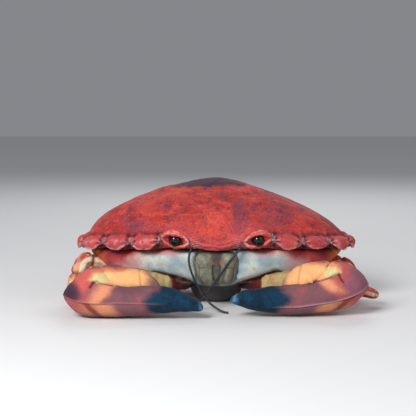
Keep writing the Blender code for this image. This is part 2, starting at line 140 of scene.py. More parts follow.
def point_tree(points: list | np.ndarray) -> KDTree:
    """Make a tree that finds the nearest of some points.

    Args:
        points: The points.

    Returns:
        The tree, which gives a point's place in the list.
    """
    tree = KDTree(len(points))
    for k, point in enumerate(points):
        tree.insert(point, k)
    tree.balance()
    return tree


def smooth_path(route: np.ndarray, count: int) -> np.ndarray:
    """Points along a smooth curve through a route's points.

    Args:
        route: The route's points.
        count: Points for each span.

    Returns:
        The points.
    """
    padded = np.concatenate((route[:1] * 2 - route[1:2], route, route[-1:] * 2 - route[-2:-1]))
    found = []
    for k in range(1, len(padded) - 2):
        a, b, c, d = padded[k - 1 : k + 3]
        for t in np.linspace(0, 1, count, endpoint=False):
            bend = (2 * a - 5 * b + 4 * c - d) * t**2 + (3 * b - a - 3 * c + d) * t**3
            found.append(0.5 * (2 * b + (c - a) * t + bend))
    return np.array(found + [route[-1]])


class Value:
    """A number that varies over a surface. Python's operators on it add Math nodes."""

    def __init__(self, dye: "Dye", socket: bpy.types.NodeSocket) -> None:
        """Wrap a socket of the finish that is being mixed."""
        self.dye = dye
        self.socket = socket

    def _math(self, operation: str, *values: "Value | float") -> "Value":
        """Add a Math node."""
        return self.dye.math(operation, *values)

    def __add__(self, other: "Value | float") -> "Value":
        """Sum."""
        return self._math("ADD", self, other)

    __radd__ = __add__

    def __sub__(self, other: "Value | float") -> "Value":
        """Difference."""
        return self._math("SUBTRACT", self, other)

    def __rsub__(self, other: "Value | float") -> "Value":
        """Difference from a number."""
        return self._math("SUBTRACT", other, self)

    def __mul__(self, other: "Value | float") -> "Value":
        """Product."""
        return self._math("MULTIPLY", self, other)

    __rmul__ = __mul__

    def __truediv__(self, other: "Value | float") -> "Value":
        """Quotient."""
        return self._math("DIVIDE", self, other)

    def __abs__(self) -> "Value":
        """Size without sign."""
        return self._math("ABSOLUTE", self)

    def __pow__(self, other: float) -> "Value":
        """Power."""
        return self._math("POWER", self, other)

    def top(self, other: "Value | float") -> "Value":
        """The larger of two."""
        return self._math("MAXIMUM", self, other)

    def sine(self) -> "Value":
        """Sine of an angle in radians."""
        return self._math("SINE", self)

    def ease(self, low: float, high: float) -> "Value":
        """Smooth step from 0 at low to 1 at high, or the other way when low is larger.

        Args:
            low: Where the step is 0.
            high: Where the step is 1.

        Returns:
            The stepped value.
        """
        ends = (low, high, 0.0, 1.0) if low < high else (high, low, 1.0, 0.0)
        node = self.dye.node(
            "ShaderNodeMapRange",
            {"interpolation_type": "SMOOTHSTEP", "clamp": True},
            {0: self, 1: ends[0], 2: ends[1], 3: ends[2], 4: ends[3]},
        )
        return Value(self.dye, node.outputs[0])

    def band(self, middle: float, half_width: float) -> "Value":
        """1 at the middle, fading to 0 at the half width on both sides."""
        return abs(self - middle).ease(half_width, 0.0)


class Dye:
    """Mixes one finish: a node material built from expressions."""

    weave_pitch = 0.00055
    weave_depth = 0.00012
    cloth_roughness = 0.82
    cloth_levels = {"Sheen Weight": 0.06, "Sheen Roughness": 0.45, "Specular IOR Level": 0.22}

    def __init__(self, name: str, base: Colour) -> None:
        """Start a material with its shader.

        Args:
            name: The material's name.
            base: The colour that the print starts from.
        """
        self.colour: object = base
        self.material = bpy.data.materials.new(name)
        self.material.use_nodes = True
        self.tree = self.material.node_tree
        self.shader = self.tree.nodes["Principled BSDF"]
        place = self.node("ShaderNodeTexCoord", {}, {})
        self.place = place.outputs["Object"]

    def node(self, kind: str, settings: dict, inputs: dict) -> bpy.types.Node:
        """Add a node.

        Args:
            kind: Its type.
            settings: Its own settings, set first.
            inputs: Values or links of its sockets, by name or number.

        Returns:
            The node.
        """
        node = self.tree.nodes.new(kind)
        for key, value in settings.items():
            setattr(node, key, value)
        for key, value in inputs.items():
            self.feed(node.inputs[key], value)
        return node

    def feed(self, socket: bpy.types.NodeSocket, value: object) -> None:
        """Link a value to a socket, or set it there.

        Args:
            socket: The socket.
            value: A value, another node's socket, a colour or a plain number.
        """
        if isinstance(value, Value):
            value = value.socket
        if isinstance(value, bpy.types.NodeSocket):
            self.tree.links.new(value, socket)
        elif isinstance(value, tuple) and len(value) == 3 and socket.type == "RGBA":
            socket.default_value = (*value, 1.0)
        else:
            socket.default_value = value

    def math(self, operation: str, *values: "Value | float") -> Value:
        """Add a Math node of that operation."""
        node = self.node("ShaderNodeMath", {"operation": operation}, dict(enumerate(values)))
        return Value(self, node.outputs[0])

    def axes(self) -> tuple[Value, Value, Value]:
        """The place on the object, as X, Y and Z in metres."""
        node = self.node("ShaderNodeSeparateXYZ", {}, {0: self.place})
        return tuple(Value(self, out) for out in node.outputs)

    def mark(self, name: str) -> Value:
        """A number stored on the piece's points."""
        node = self.node("ShaderNodeAttribute", {"attribute_name": name}, {})
        return Value(self, node.outputs["Fac"])

    def noise(self, size: float, detail: float = 3.0, rough: float = 0.5,
              stretch: Triple = (1.0, 1.0, 1.0), shift: float = 0.0) -> Value:
        """Noise whose blotches are about that size in metres, between 0 and 1.

        Args:
            size: Blotch size.
            detail: Finer layers.
            rough: Strength of the finer layers.
            stretch: Scale of the pattern along each axis.
            shift: Offset that gives another pattern.

        Returns:
            The noise, about 0.5 in the middle.
        """
        mapped = self.node(
            "ShaderNodeMapping", {},
            {"Vector": self.place, "Scale": stretch, "Location": (shift,) * 3},
        )
        node = self.node(
            "ShaderNodeTexNoise", {},
            {"Vector": mapped.outputs[0], "Scale": 1 / size, "Detail": detail, "Roughness": rough},
        )
        return Value(self, node.outputs["Fac"])

    def specks(self, size: float, share: float) -> Value:
        """Round specks scattered over the piece.

        Args:
            size: Distance between the cells that may hold a speck.
            share: Radius of a speck as a share of its cell.

        Returns:
            1 inside a speck, 0 outside.
        """
        node = self.node("ShaderNodeTexVoronoi", {}, {"Vector": self.place, "Scale": 1 / size})
        return Value(self, node.outputs["Distance"]).ease(share, share * 0.4)

    def mix(self, base: object, colour: object, mask: "Value | float") -> bpy.types.NodeSocket:
        """Lay a colour over a base where the mask is 1.

        Args:
            base: Colour below.
            colour: Colour on top.
            mask: How much of it shows.

        Returns:
            The mixed colour's socket.
        """
        node = self.node(
            "ShaderNodeMix", {"data_type": "RGBA"}, {"Factor": mask, 6: base, 7: colour}
        )
        return node.outputs[2]

    def over(self, colour: object, mask: "Value | float") -> None:
        """Lay a colour over the print so far where the mask is 1."""
        self.colour = self.mix(self.colour, colour, mask)

    def weave(self) -> Value:
        """A plain weave, softened by noise.

        Returns:
            Its height.
        """
        x, y, z = self.axes()
        turn = 2 * math.pi / self.weave_pitch
        warp = ((x + y * 0.35) * turn).sine()
        weft = ((z + y * 0.65) * turn).sine()
        return (warp * weft) * 0.35 + self.noise(self.weave_pitch * 1.7, 2.0, 0.6) * 0.9

    def coat(self, inputs: dict[str, object]) -> bpy.types.Material:
        """Feed the print and other inputs to the shader.

        Args:
            inputs: Values or links of the shader's other sockets, by name.

        Returns:
            The material.
        """
        for key, value in {"Base Color": self.colour, **inputs}.items():
            self.feed(self.shader.inputs[key], value)
        return self.material

    def cloth(self, grain: float, speckle: float) -> bpy.types.Material:
        """Finish as matt printed cloth.

        Args:
            grain: Strength of the weave's relief.
            speckle: Strength of the print's fine grain of light and dark.

        Returns:
            The material.
        """
        weave = self.weave()
        bump = self.node(
            "ShaderNodeBump", {},
            {"Strength": grain, "Distance": self.weave_depth, "Height": weave},
        )
        light = (self.noise(0.0016, 3.0, 0.7, shift=9.0) - 0.5) * (speckle * 3.0) + 1.0
        light = light * (weave.ease(-0.1, 1.1) * 0.16 + 0.92)
        shaded = self.node(
            "ShaderNodeVectorMath", {"operation": "SCALE"},
            {0: self.colour, "Scale": light.top(0.2)},
        )
        self.colour = shaded.outputs[0]
        rough = self.noise(0.006) * 0.12 + (self.cloth_roughness - 0.06)
        return self.coat({"Roughness": rough, "Normal": bump.outputs[0], **self.cloth_levels})


@dataclass(frozen=True)
class ShellPrint:
    """Red crab-shell print, darker over the ridge, brighter along the brow and rim, with painted
    shade in the rim's folds and painted highlights on its crowns and crests.
    """

    red: Colour = paint(168, 50, 47)
    coral: Colour = paint(212, 82, 70)
    wine: Colour = paint(108, 34, 40)
    slate: Colour = paint(30, 28, 54)
    plum: Colour = paint(104, 58, 78)
    pink: Colour = paint(182, 74, 84)
    thread: Colour = paint(240, 192, 192)
    dark: Colour = paint(74, 16, 26)
    blots: tuple[tuple[float, float, float, float, float], ...] = (
        (0.0190, 0.0700, 0.0080, 0.0150, 0.50), (-0.0400, 0.0800, 0.0030, 0.0022, 0.70),
        (0.0300, 0.0790, 0.0035, 0.0024, 0.70), (0.0480, 0.0730, 0.0150, 0.0100, 0.45),
        (-0.0560, 0.0640, 0.0200, 0.0040, 0.30),
    )

    def material(self) -> bpy.types.Material:
        """Mix the finish.

        Returns:
            The material.
        """
        dye = Dye("shell_print", self.red)
        x, y, z = dye.axes()
        x = x - MIDDLE_X
        drift = dye.noise(0.034, 4.0, 0.55)
        mottle = dye.noise(0.0085, 5.0, 0.66, shift=3.0)
        fine = dye.noise(0.0026, 4.0, 0.70, shift=1.0)
        smear = dye.noise(0.006, 4.0, 0.65, stretch=(0.45, 1.0, 1.0), shift=8.0)
        dye.over(self.coral, drift.ease(0.40, 0.66) * 0.45)
        dye.over(self.wine, mottle.ease(0.47, 0.64) * 0.70)
        dye.over(self.coral, smear.ease(0.50, 0.64) * 0.55)
        dye.over(self.plum, dye.noise(0.020, 5.0, 0.66, shift=7.0).ease(0.52, 0.66) * 0.48)
        brow = z.ease(0.078, 0.060) * abs(x).ease(0.075, 0.03) * y.ease(-0.03, -0.05)
        dye.over(self.coral, brow * fine.ease(0.25, 0.6) * 0.6)
        front = y.ease(0.0, -0.01)
        for x0, z0, wide, tall, much in self.blots:
            blot = self.spot(dye, x, z, x0, z0, wide, tall, mottle) * front
            dye.over(self.plum, blot * much)
        ring = self.spot(dye, x, z, -0.0010, 0.0720, 0.009, 0.006, drift)
        dye.over(self.coral, ring * 0.5)
        lower = x.ease(0.026, 0.062) * 0.011 - x.ease(0.0, 0.02) * 0.0015
        ridge = (z + lower + (drift - 0.5) * 0.006 + (mottle - 0.5) * 0.009).ease(0.0925, 0.0960)
        oval = (x / 0.060) ** 2.0 + ((y - 0.008) / 0.042) ** 2.0 + (mottle - 0.5) * 1.6
        dye.over(self.slate, ridge * oval.ease(1.35, 0.55) * 0.88)
        dye.over(self.pink, dye.mark("rim") * (0.35 + fine * 0.4))
        dye.over(self.coral, dye.mark("rim") * mottle.ease(0.44, 0.58) * 0.45)
        # Painted highlight on the crowns of the rim's lobes.
        dye.over(self.thread, dye.mark("crown") * mottle.ease(0.40, 0.60) * 0.34)
        # Painted shade in the rim's creases, under its hem, round its ties and in the valleys of
        # the folds and wrinkles.
        dye.over(self.dark, dye.mark("fold") * 0.92)
        # Pale stitched hem, plus painted highlights on the crests of the fan folds and the corner
        # wrinkles.
        dye.over(self.thread, dye.mark("edge") * 0.8)
        dye.over(self.slate, dye.specks(0.0080, 0.16) * fine.ease(0.47, 0.56) * 0.50)
        dye.over(self.dark, fine.ease(0.56, 0.68) * 0.40)
        dye.over(self.thread, dye.specks(0.0030, 0.15) * mottle.ease(0.46, 0.58) * 0.42)
        return dye.cloth(grain=0.7, speckle=0.50)

    @staticmethod
    def spot(dye: Dye, x: Value, z: Value, x0: float, z0: float, wide: float, tall: float,
             drift: Value) -> Value:
        """A soft blot of the print, seen from the front.

        Args:
            dye: The finish; not used.
            x: Place across.
            z: Place up.
            x0: The blot's middle across.
            z0: The blot's middle up.
            wide: Half width.
            tall: Half height.
            drift: Noise that frays its edge.

        Returns:
            1 inside the blot, 0 outside.
        """
        apart = ((x - x0) / wide) ** 2.0 + ((z - z0) / tall) ** 2.0
        return (apart + (drift - 0.5) * 1.6).ease(1.3, 0.3)


@dataclass(frozen=True)
class BellyPrint:
    """Cream cheeks with a bluish tint, red towards the sides and a few ochre spots, with painted
    shade that darkens the belly towards the bottom.
    """

    cream: Colour = paint(204, 212, 202)
    blue: Colour = paint(138, 162, 176)
    red: Colour = paint(170, 44, 52)
    pink: Colour = paint(208, 128, 120)
    wine: Colour = paint(104, 22, 32)
    ochre: Colour = paint(190, 142, 66)
    orange: Colour = paint(206, 96, 48)
    painted_bottom_shade: Colour = paint(38, 26, 30)

    def material(self) -> bpy.types.Material:
        """Mix the finish.

        Returns:
            The material.
        """
        dye = Dye("belly_print", self.cream)
        x, y, z = dye.axes()
        drift = dye.noise(0.016, 4.0, 0.58)
        wide = abs(x - MIDDLE_X)
        dye.over(self.blue, drift.ease(0.36, 0.62) * 0.85)
        wander = (drift - 0.5) * 0.022
        under_rim = (z + wander * 0.35).ease(0.0395, 0.0455) * wide.ease(0.020, 0.040)
        dye.over(self.pink, under_rim * 0.75)
        flank = (wide + (z - 0.040) * 1.2 + wander).ease(0.058, 0.076)
        dye.over(self.pink, (wide + wander).ease(0.048, 0.066) * 0.6)
        dye.over(self.red, flank * 0.92)
        dye.over(self.wine, (wide + (z - 0.040) * 2.0 - wander).ease(0.078, 0.096) * 0.75)
        dye.over(self.orange, wide.ease(0.086, 0.094) * z.ease(0.047, 0.041) * 0.85)
        end_seam = abs(wide + (z - 0.040) * 0.9 - 0.0985).ease(0.0022, 0.0008)
        dye.over(self.ochre, end_seam * 0.7)
        dye.over(self.ochre, dye.mark("spot"))
        # Painted shade: the belly turns nearly black towards the bottom, where it lies in shadow.
        dye.over(self.painted_bottom_shade, (z + wander * 0.15).ease(0.0190, 0.0150) * 0.92)
        return dye.cloth(grain=0.45, speckle=0.12)


@dataclass(frozen=True)
class MouthPrint:
    """Grey-cream gusset print with the outlines of two mouth plates, and painted shade in its
    hollows.
    """

    cream: Colour = paint(144, 144, 126)
    grey: Colour = paint(94, 97, 89)
    shade: Colour = paint(44, 39, 35)
    line: Colour = paint(111, 66, 25)
    salmon: Colour = paint(170, 91, 71)

    def material(self) -> bpy.types.Material:
        """Mix the finish.

        Returns:
            The material.
        """
        dye = Dye("mouth_print", self.cream)
        drift = dye.noise(0.007, 4.0, 0.6)
        dye.over(self.grey, drift.ease(0.38, 0.62) * 0.75)
        # Painted shade in the hollow down the middle, between the plates' arches and under the
        # brow.
        dye.over(self.shade, dye.mark("valley") * 0.72)
        dye.over(self.salmon, dye.mark("salmon") * 0.8)
        dye.over(self.line, dye.mark("line") * 0.85)
        # Painted shade in the groove down the middle.
        dye.over(self.shade, dye.mark("groove") * 0.85)
        return dye.cloth(grain=0.5, speckle=0.20)


@dataclass(frozen=True)
class LidPrint:
    """Pink-red fabric of the lids, with painted shade on their lower side and round the bead."""

    pink: Colour = paint(208, 92, 86)
    wine: Colour = paint(116, 26, 34)
    pale: Colour = paint(236, 172, 170)
    coral: Colour = paint(206, 78, 62)

    def material(self) -> bpy.types.Material:
        """Mix the finish.

        Returns:
            The material.
        """
        dye = Dye("lid_print", self.pink)
        drift = dye.noise(0.004, 4.0, 0.62)
        dye.over(self.pale, drift.ease(0.47, 0.62) * 0.4)
        dye.over(self.coral, dye.mark("inner") * 0.85)
        # Painted shade on the lid's lower side and in the groove round the bead.
        dye.over(self.wine, dye.mark("under") * 0.55)
        dye.over(self.pale, dye.mark("corner") * 0.6)
        return dye.cloth(grain=0.55, speckle=0.22)


@dataclass(frozen=True)
class ClawPrint:
    """Print of a claw, laid out in millimetres from its outer end inwards and from the table up.

    The palm and the upper finger share it, so the print runs on over the seam between them.

    Attributes:
        side: The crab's side.
        length: Where the palm's inner end is, which gets a painted highlight.
        lift: How much higher the print sits on this claw.
        patch_slope: How far the peach patch leans.
        glow: Where the coral glow has its middle.
        shade: Half width of the purple blot at the outer end.
        dusty: How faded the print is.
        piping: Colour of the sewn seam.
        purple: Colour of the blot at the outer end.
    """

    side: Side
    length: float
    lift: float
    patch_slope: float
    glow: float
    shade: float
    dusty: float
    piping: Colour
    purple: Colour
    slate: Colour = paint(42, 30, 48)
    coral: Colour = paint(210, 92, 82)
    rose: Colour = paint(168, 84, 84)
    peach: Colour = paint(230, 154, 114)
    cream: Colour = paint(240, 178, 118)
    pale: Colour = paint(206, 206, 150)
    mauve: Colour = paint(126, 80, 86)
    dusk: Colour = paint(98, 70, 82)
    steel: Colour = paint(6, 50, 74)
    navy: Colour = paint(3, 20, 36)
    painted_highlight: Colour = paint(84, 132, 164)
    tan: Colour = paint(196, 128, 92)
    wine: Colour = paint(128, 42, 50)

    def material(self, outer: float, slit: Line, finger: bool) -> bpy.types.Material:
        """Mix the finish.

        Args:
            outer: How far out the claw reaches, in metres.
            slit: The line between the palm and the upper finger.
            finger: Whether it is for the upper finger instead of the palm.

        Returns:
            The material.
        """
        dye = Dye(f"{'finger' if finger else 'palm'}_print_{self.side.word}", self.rose)
        x, _, z = dye.axes()
        run = (outer - x * self.side.value) * TO_MM
        high = z * TO_MM
        drift = dye.noise(0.016, 4.0, 0.6) - 0.5
        other = dye.noise(0.012, 4.0, 0.6, shift=5.0) - 0.5
        fine = dye.noise(0.0045, 4.0, 0.65, shift=2.0) - 0.5
        along = run + drift * 9.0 + fine * 3.0
        level = high - self.lift + other * 5.0 + fine * 1.5
        dye.over(self.mauve, other.ease(-0.05, 0.15) * 0.5)
        glow = self.blot(along + fine * 10.0, level, self.glow, 30.0, 10.0, 8.0)
        dye.over(self.coral, glow * (0.78 - self.dusty * 0.8))
        dye.over(self.purple, self.blot(along, level, 4.0, 21.0, self.shade, self.shade))
        dye.over(self.slate, self.blot(along, level, 5.0, 20.0, 7.0, 6.0) * (0.55 - self.dusty))
        patch = run - 32.5 - (high - self.lift - 22.0) * self.patch_slope + drift * 9.0 + fine * 4.0
        near = (high - self.lift + other * 8.0 - self.dusty * 12.0).ease(8.0, 16.0)
        dye.over(self.peach, abs(patch).ease(12.0, 0.0) * near * 0.85)
        veil = dye.mix(self.mauve, self.rose, other.ease(0.02, 0.16) * 0.6)
        veil = dye.mix(veil, self.dusk, drift.ease(-0.08, 0.10) * 0.6)
        dye.over(veil, patch.ease(2.5, 9.5))
        (x0, z0), (x1, z1) = slit[0], slit[-1]
        cut = z0 - (run - x0) * ((z0 - z1) / (x1 - x0))
        above = 1.0 if finger else (high - cut).ease(-0.6, 0.5) * run.ease(44.0, 36.0)
        cream = dye.mix(self.cream, self.peach, drift.ease(0.0, 0.14) * 0.35)
        # Painted highlight: a pale yellow-green spot on the cream near the finger's root.
        painted_highlight = self.blot(along, high - self.lift, 29.0, 31.0, 9.0, 5.0)
        cream = dye.mix(cream, self.pale, painted_highlight * 0.75)
        dye.over(cream, (along - abs(level - 31.5) * 0.5).ease(18.5, 26.5) * above)
        top = level - 34.8 - (run - 20.0) * 0.05
        dye.over(self.coral, top.ease(-1.2, 1.2) * (0.75 - self.dusty * 0.6))
        edge = level - 38.6 + (run - 22.0).top(0.0) * 0.02 + (run * -0.55 + 11.0).top(0.0)
        dye.over(self.slate, edge.ease(-1.5, 1.0) * 0.8)
        if finger:
            dye.over(self.coral, dye.mark("crease") * (0.22 + self.dusty * 0.6))
            dye.over(self.mauve, along.ease(61.0, 70.0) * 0.85)
        else:
            self.palm(dye, run, high, drift, fine)
        return dye.cloth(grain=0.45, speckle=0.16)

    def palm(self, dye: Dye, run: Value, high: Value, drift: Value, fine: Value) -> None:
        """Lay the parts of the print that only the palm has.

        Args:
            dye: The finish.
            run: Millimetres from the outer end.
            high: Millimetres from the table.
            drift: Coarse noise round 0.
            fine: Fine noise round 0.
        """
        # The underside's print: tan, peach, a wine stripe and mauve; its tan is made darker as
        # painted shade of the underside.
        below = dye.mix(self.rose, self.tan, (run + fine * 6.0 - high * 0.5).ease(3.0, 18.0) * 0.9)
        below = dye.mix(below, self.peach, (run + drift * 6.0).ease(25.0, 31.0) * 0.6)
        stripe = run + high * 0.9 - 31.0 + drift * 7.0 + fine * 3.0
        below = dye.mix(below, self.wine, abs(stripe).ease(4.6, 1.0) * 0.85)
        below = dye.mix(below, self.mauve, (run + high * 0.8 + drift * 8.0).ease(42.0, 52.0))
        # Painted shade: dusky towards the table.
        below = dye.mix(below, self.dusk, high.ease(7.0, 2.0) * 0.6)
        dye.over(below, dye.mark("under") * run.ease(66.0, 52.0))
        nose = run + drift * 12.0 + fine * 5.0 - abs(high - 14.0 - self.lift * 0.5) * 1.1
        cold = nose.ease(55.0, 66.0)
        steel = dye.mix(self.steel, self.navy, (drift + fine).ease(-0.03, 0.16) * 0.6)
        # Painted shade: the blue tip turns navy towards its top and bottom.
        steel = dye.mix(steel, self.navy, abs(high - 15.0).ease(4.0, 10.0) * 0.65)
        dye.over(steel, cold)
        # Painted highlight: light blue patches on the rounded inner tip.
        tip_highlight = run.ease(self.length - 4.0, self.length)
        dye.over(self.painted_highlight, tip_highlight * fine.ease(-0.12, 0.06) * 0.8)
        # Light blue specks of print over the blue tip, in the highlight's colour.
        dye.over(self.painted_highlight, cold * dye.specks(0.0026, 0.16) * 0.25)
        dye.over(self.piping, dye.mark("piping") * 0.75)
        # Painted shade in the dart, the slit and the groove under the seam.
        dye.over(self.slate, dye.mark("pucker") * 0.9)

    @staticmethod
    def blot(along: Value, level: Value, x0: float, z0: float, wide: float, tall: float) -> Value:
        """A soft round blot of the print: 1 inside, 0 outside."""
        apart = ((along - x0) / wide) ** 2.0 + ((level - z0) / tall) ** 2.0
        return apart.ease(1.15, 0.25)


@dataclass(frozen=True)
class ArmPrint:
    """Cream-yellow sleeve with a dark red root, which fades to painted shade towards the middle."""

    cream: Colour = paint(184, 160, 112)
    orange: Colour = paint(158, 98, 46)
    wine: Colour = paint(112, 23, 31)
    dark: Colour = paint(40, 9, 16)

    def material(self) -> bpy.types.Material:
        """Mix the finish.

        Returns:
            The material.
        """
        dye = Dye("arm_print", self.cream)
        x, _, z = dye.axes()
        wide = abs(x - MIDDLE_X)
        drift = dye.noise(0.010, 4.0, 0.62)
        dye.over(self.orange, drift.ease(0.45, 0.64) * 0.7)
        amber = (wide * 0.6 + z + (drift - 0.5) * 0.02).ease(0.058, 0.070)
        dye.over(self.orange, amber * 0.7)
        dye.over(self.dark, wide.band(0.0352, 0.0009) * 0.8)
        root = dye.mix(self.wine, self.dark, drift.ease(0.4, 0.6) * 0.8)
        # Painted shade: the root fades to near black towards the middle, where it lies in shadow
        # under the body.
        root = dye.mix(root, self.dark, wide.ease(0.0295, 0.0255) * 0.9)
        dye.over(root, wide.ease(0.0352, 0.0346))
        return dye.cloth(grain=0.45, speckle=0.14)


@dataclass(frozen=True)
class LegPrint:
    """Orange-red leg print, mottled with cream and grey, pale along its seams."""

    side: Side
    orange: Colour = paint(192, 66, 42)
    peach: Colour = paint(220, 164, 124)
    white: Colour = paint(238, 222, 198)
    grey: Colour = paint(112, 118, 122)
    wine: Colour = paint(110, 28, 26)

    def material(self) -> bpy.types.Material:
        """Mix the finish.

        Returns:
            The material.
        """
        dye = Dye(f"leg_print_{self.side.word}", self.orange)
        coarse = dye.noise(0.011, 5.0, 0.62)
        blotch = dye.noise(0.0065, 5.0, 0.64, shift=6.0)
        fine = dye.noise(0.0030, 4.0, 0.66, shift=4.0)
        pale = 0.62 if self.side is Side.LEFT else 0.42
        dye.over(self.peach, coarse.ease(pale, pale + 0.12) * 0.92)
        dye.over(self.orange, blotch.ease(0.56, 0.64) * 0.8)
        dye.over(self.white, fine.ease(0.56, 0.66) * 0.7)
        dye.over(self.grey, dye.noise(0.006, 3.0, 0.6, shift=9.0).ease(0.60, 0.67) * 0.75)
        dye.over(self.wine, dye.noise(0.008, 4.0, 0.62, shift=2.0).ease(0.57, 0.68) * 0.6)
        dye.over(self.white, dye.mark("seam") * fine.ease(0.3, 0.5) * 0.85)
        dye.over(self.wine, dye.mark("joint") * 0.75)
        return dye.cloth(grain=0.5, speckle=0.22)


@dataclass(frozen=True)
class BeadGloss:
    """Polished black bead."""

    black: Colour = (0.003, 0.003, 0.004)
    mirror: float = 0.45

    def material(self) -> bpy.types.Material:
        """Mix the finish.

        Returns:
            The material.
        """
        dye = Dye("bead_gloss", self.black)
        rough = dye.noise(0.002) * 0.02 + 0.02
        return dye.coat({"Roughness": rough, "Specular IOR Level": self.mirror})


@dataclass(frozen=True)
class WaxedCord:
    """Twisted black cord with a waxy half gloss."""

    black: Colour = paint(14, 17, 22)
    grey: Colour = paint(58, 68, 78)

    def material(self) -> bpy.types.Material:
        """Mix the finish.

        Returns:
            The material.
        """
        dye = Dye("waxed_cord", self.black)
        dye.over(self.grey, dye.noise(0.0012, 3.0, 0.7).ease(0.5, 0.8) * 0.5)
        return dye.coat({"Roughness": dye.noise(0.002) * 0.2 + 0.35})


@dataclass(frozen=True)
class TieThread:
    """Grey sewing thread of the rim's ties."""

    pale: Colour = paint(150, 156, 168)
    dark: Colour = paint(64, 70, 86)

    def material(self) -> bpy.types.Material:
        """Mix the finish.

        Returns:
            The material.
        """
        dye = Dye("tie_thread", self.pale)
        dye.over(self.dark, dye.noise(0.003, 3.0, 0.7).ease(0.42, 0.6))
        return dye.coat({"Roughness": dye.noise(0.001) * 0.2 + 0.55})


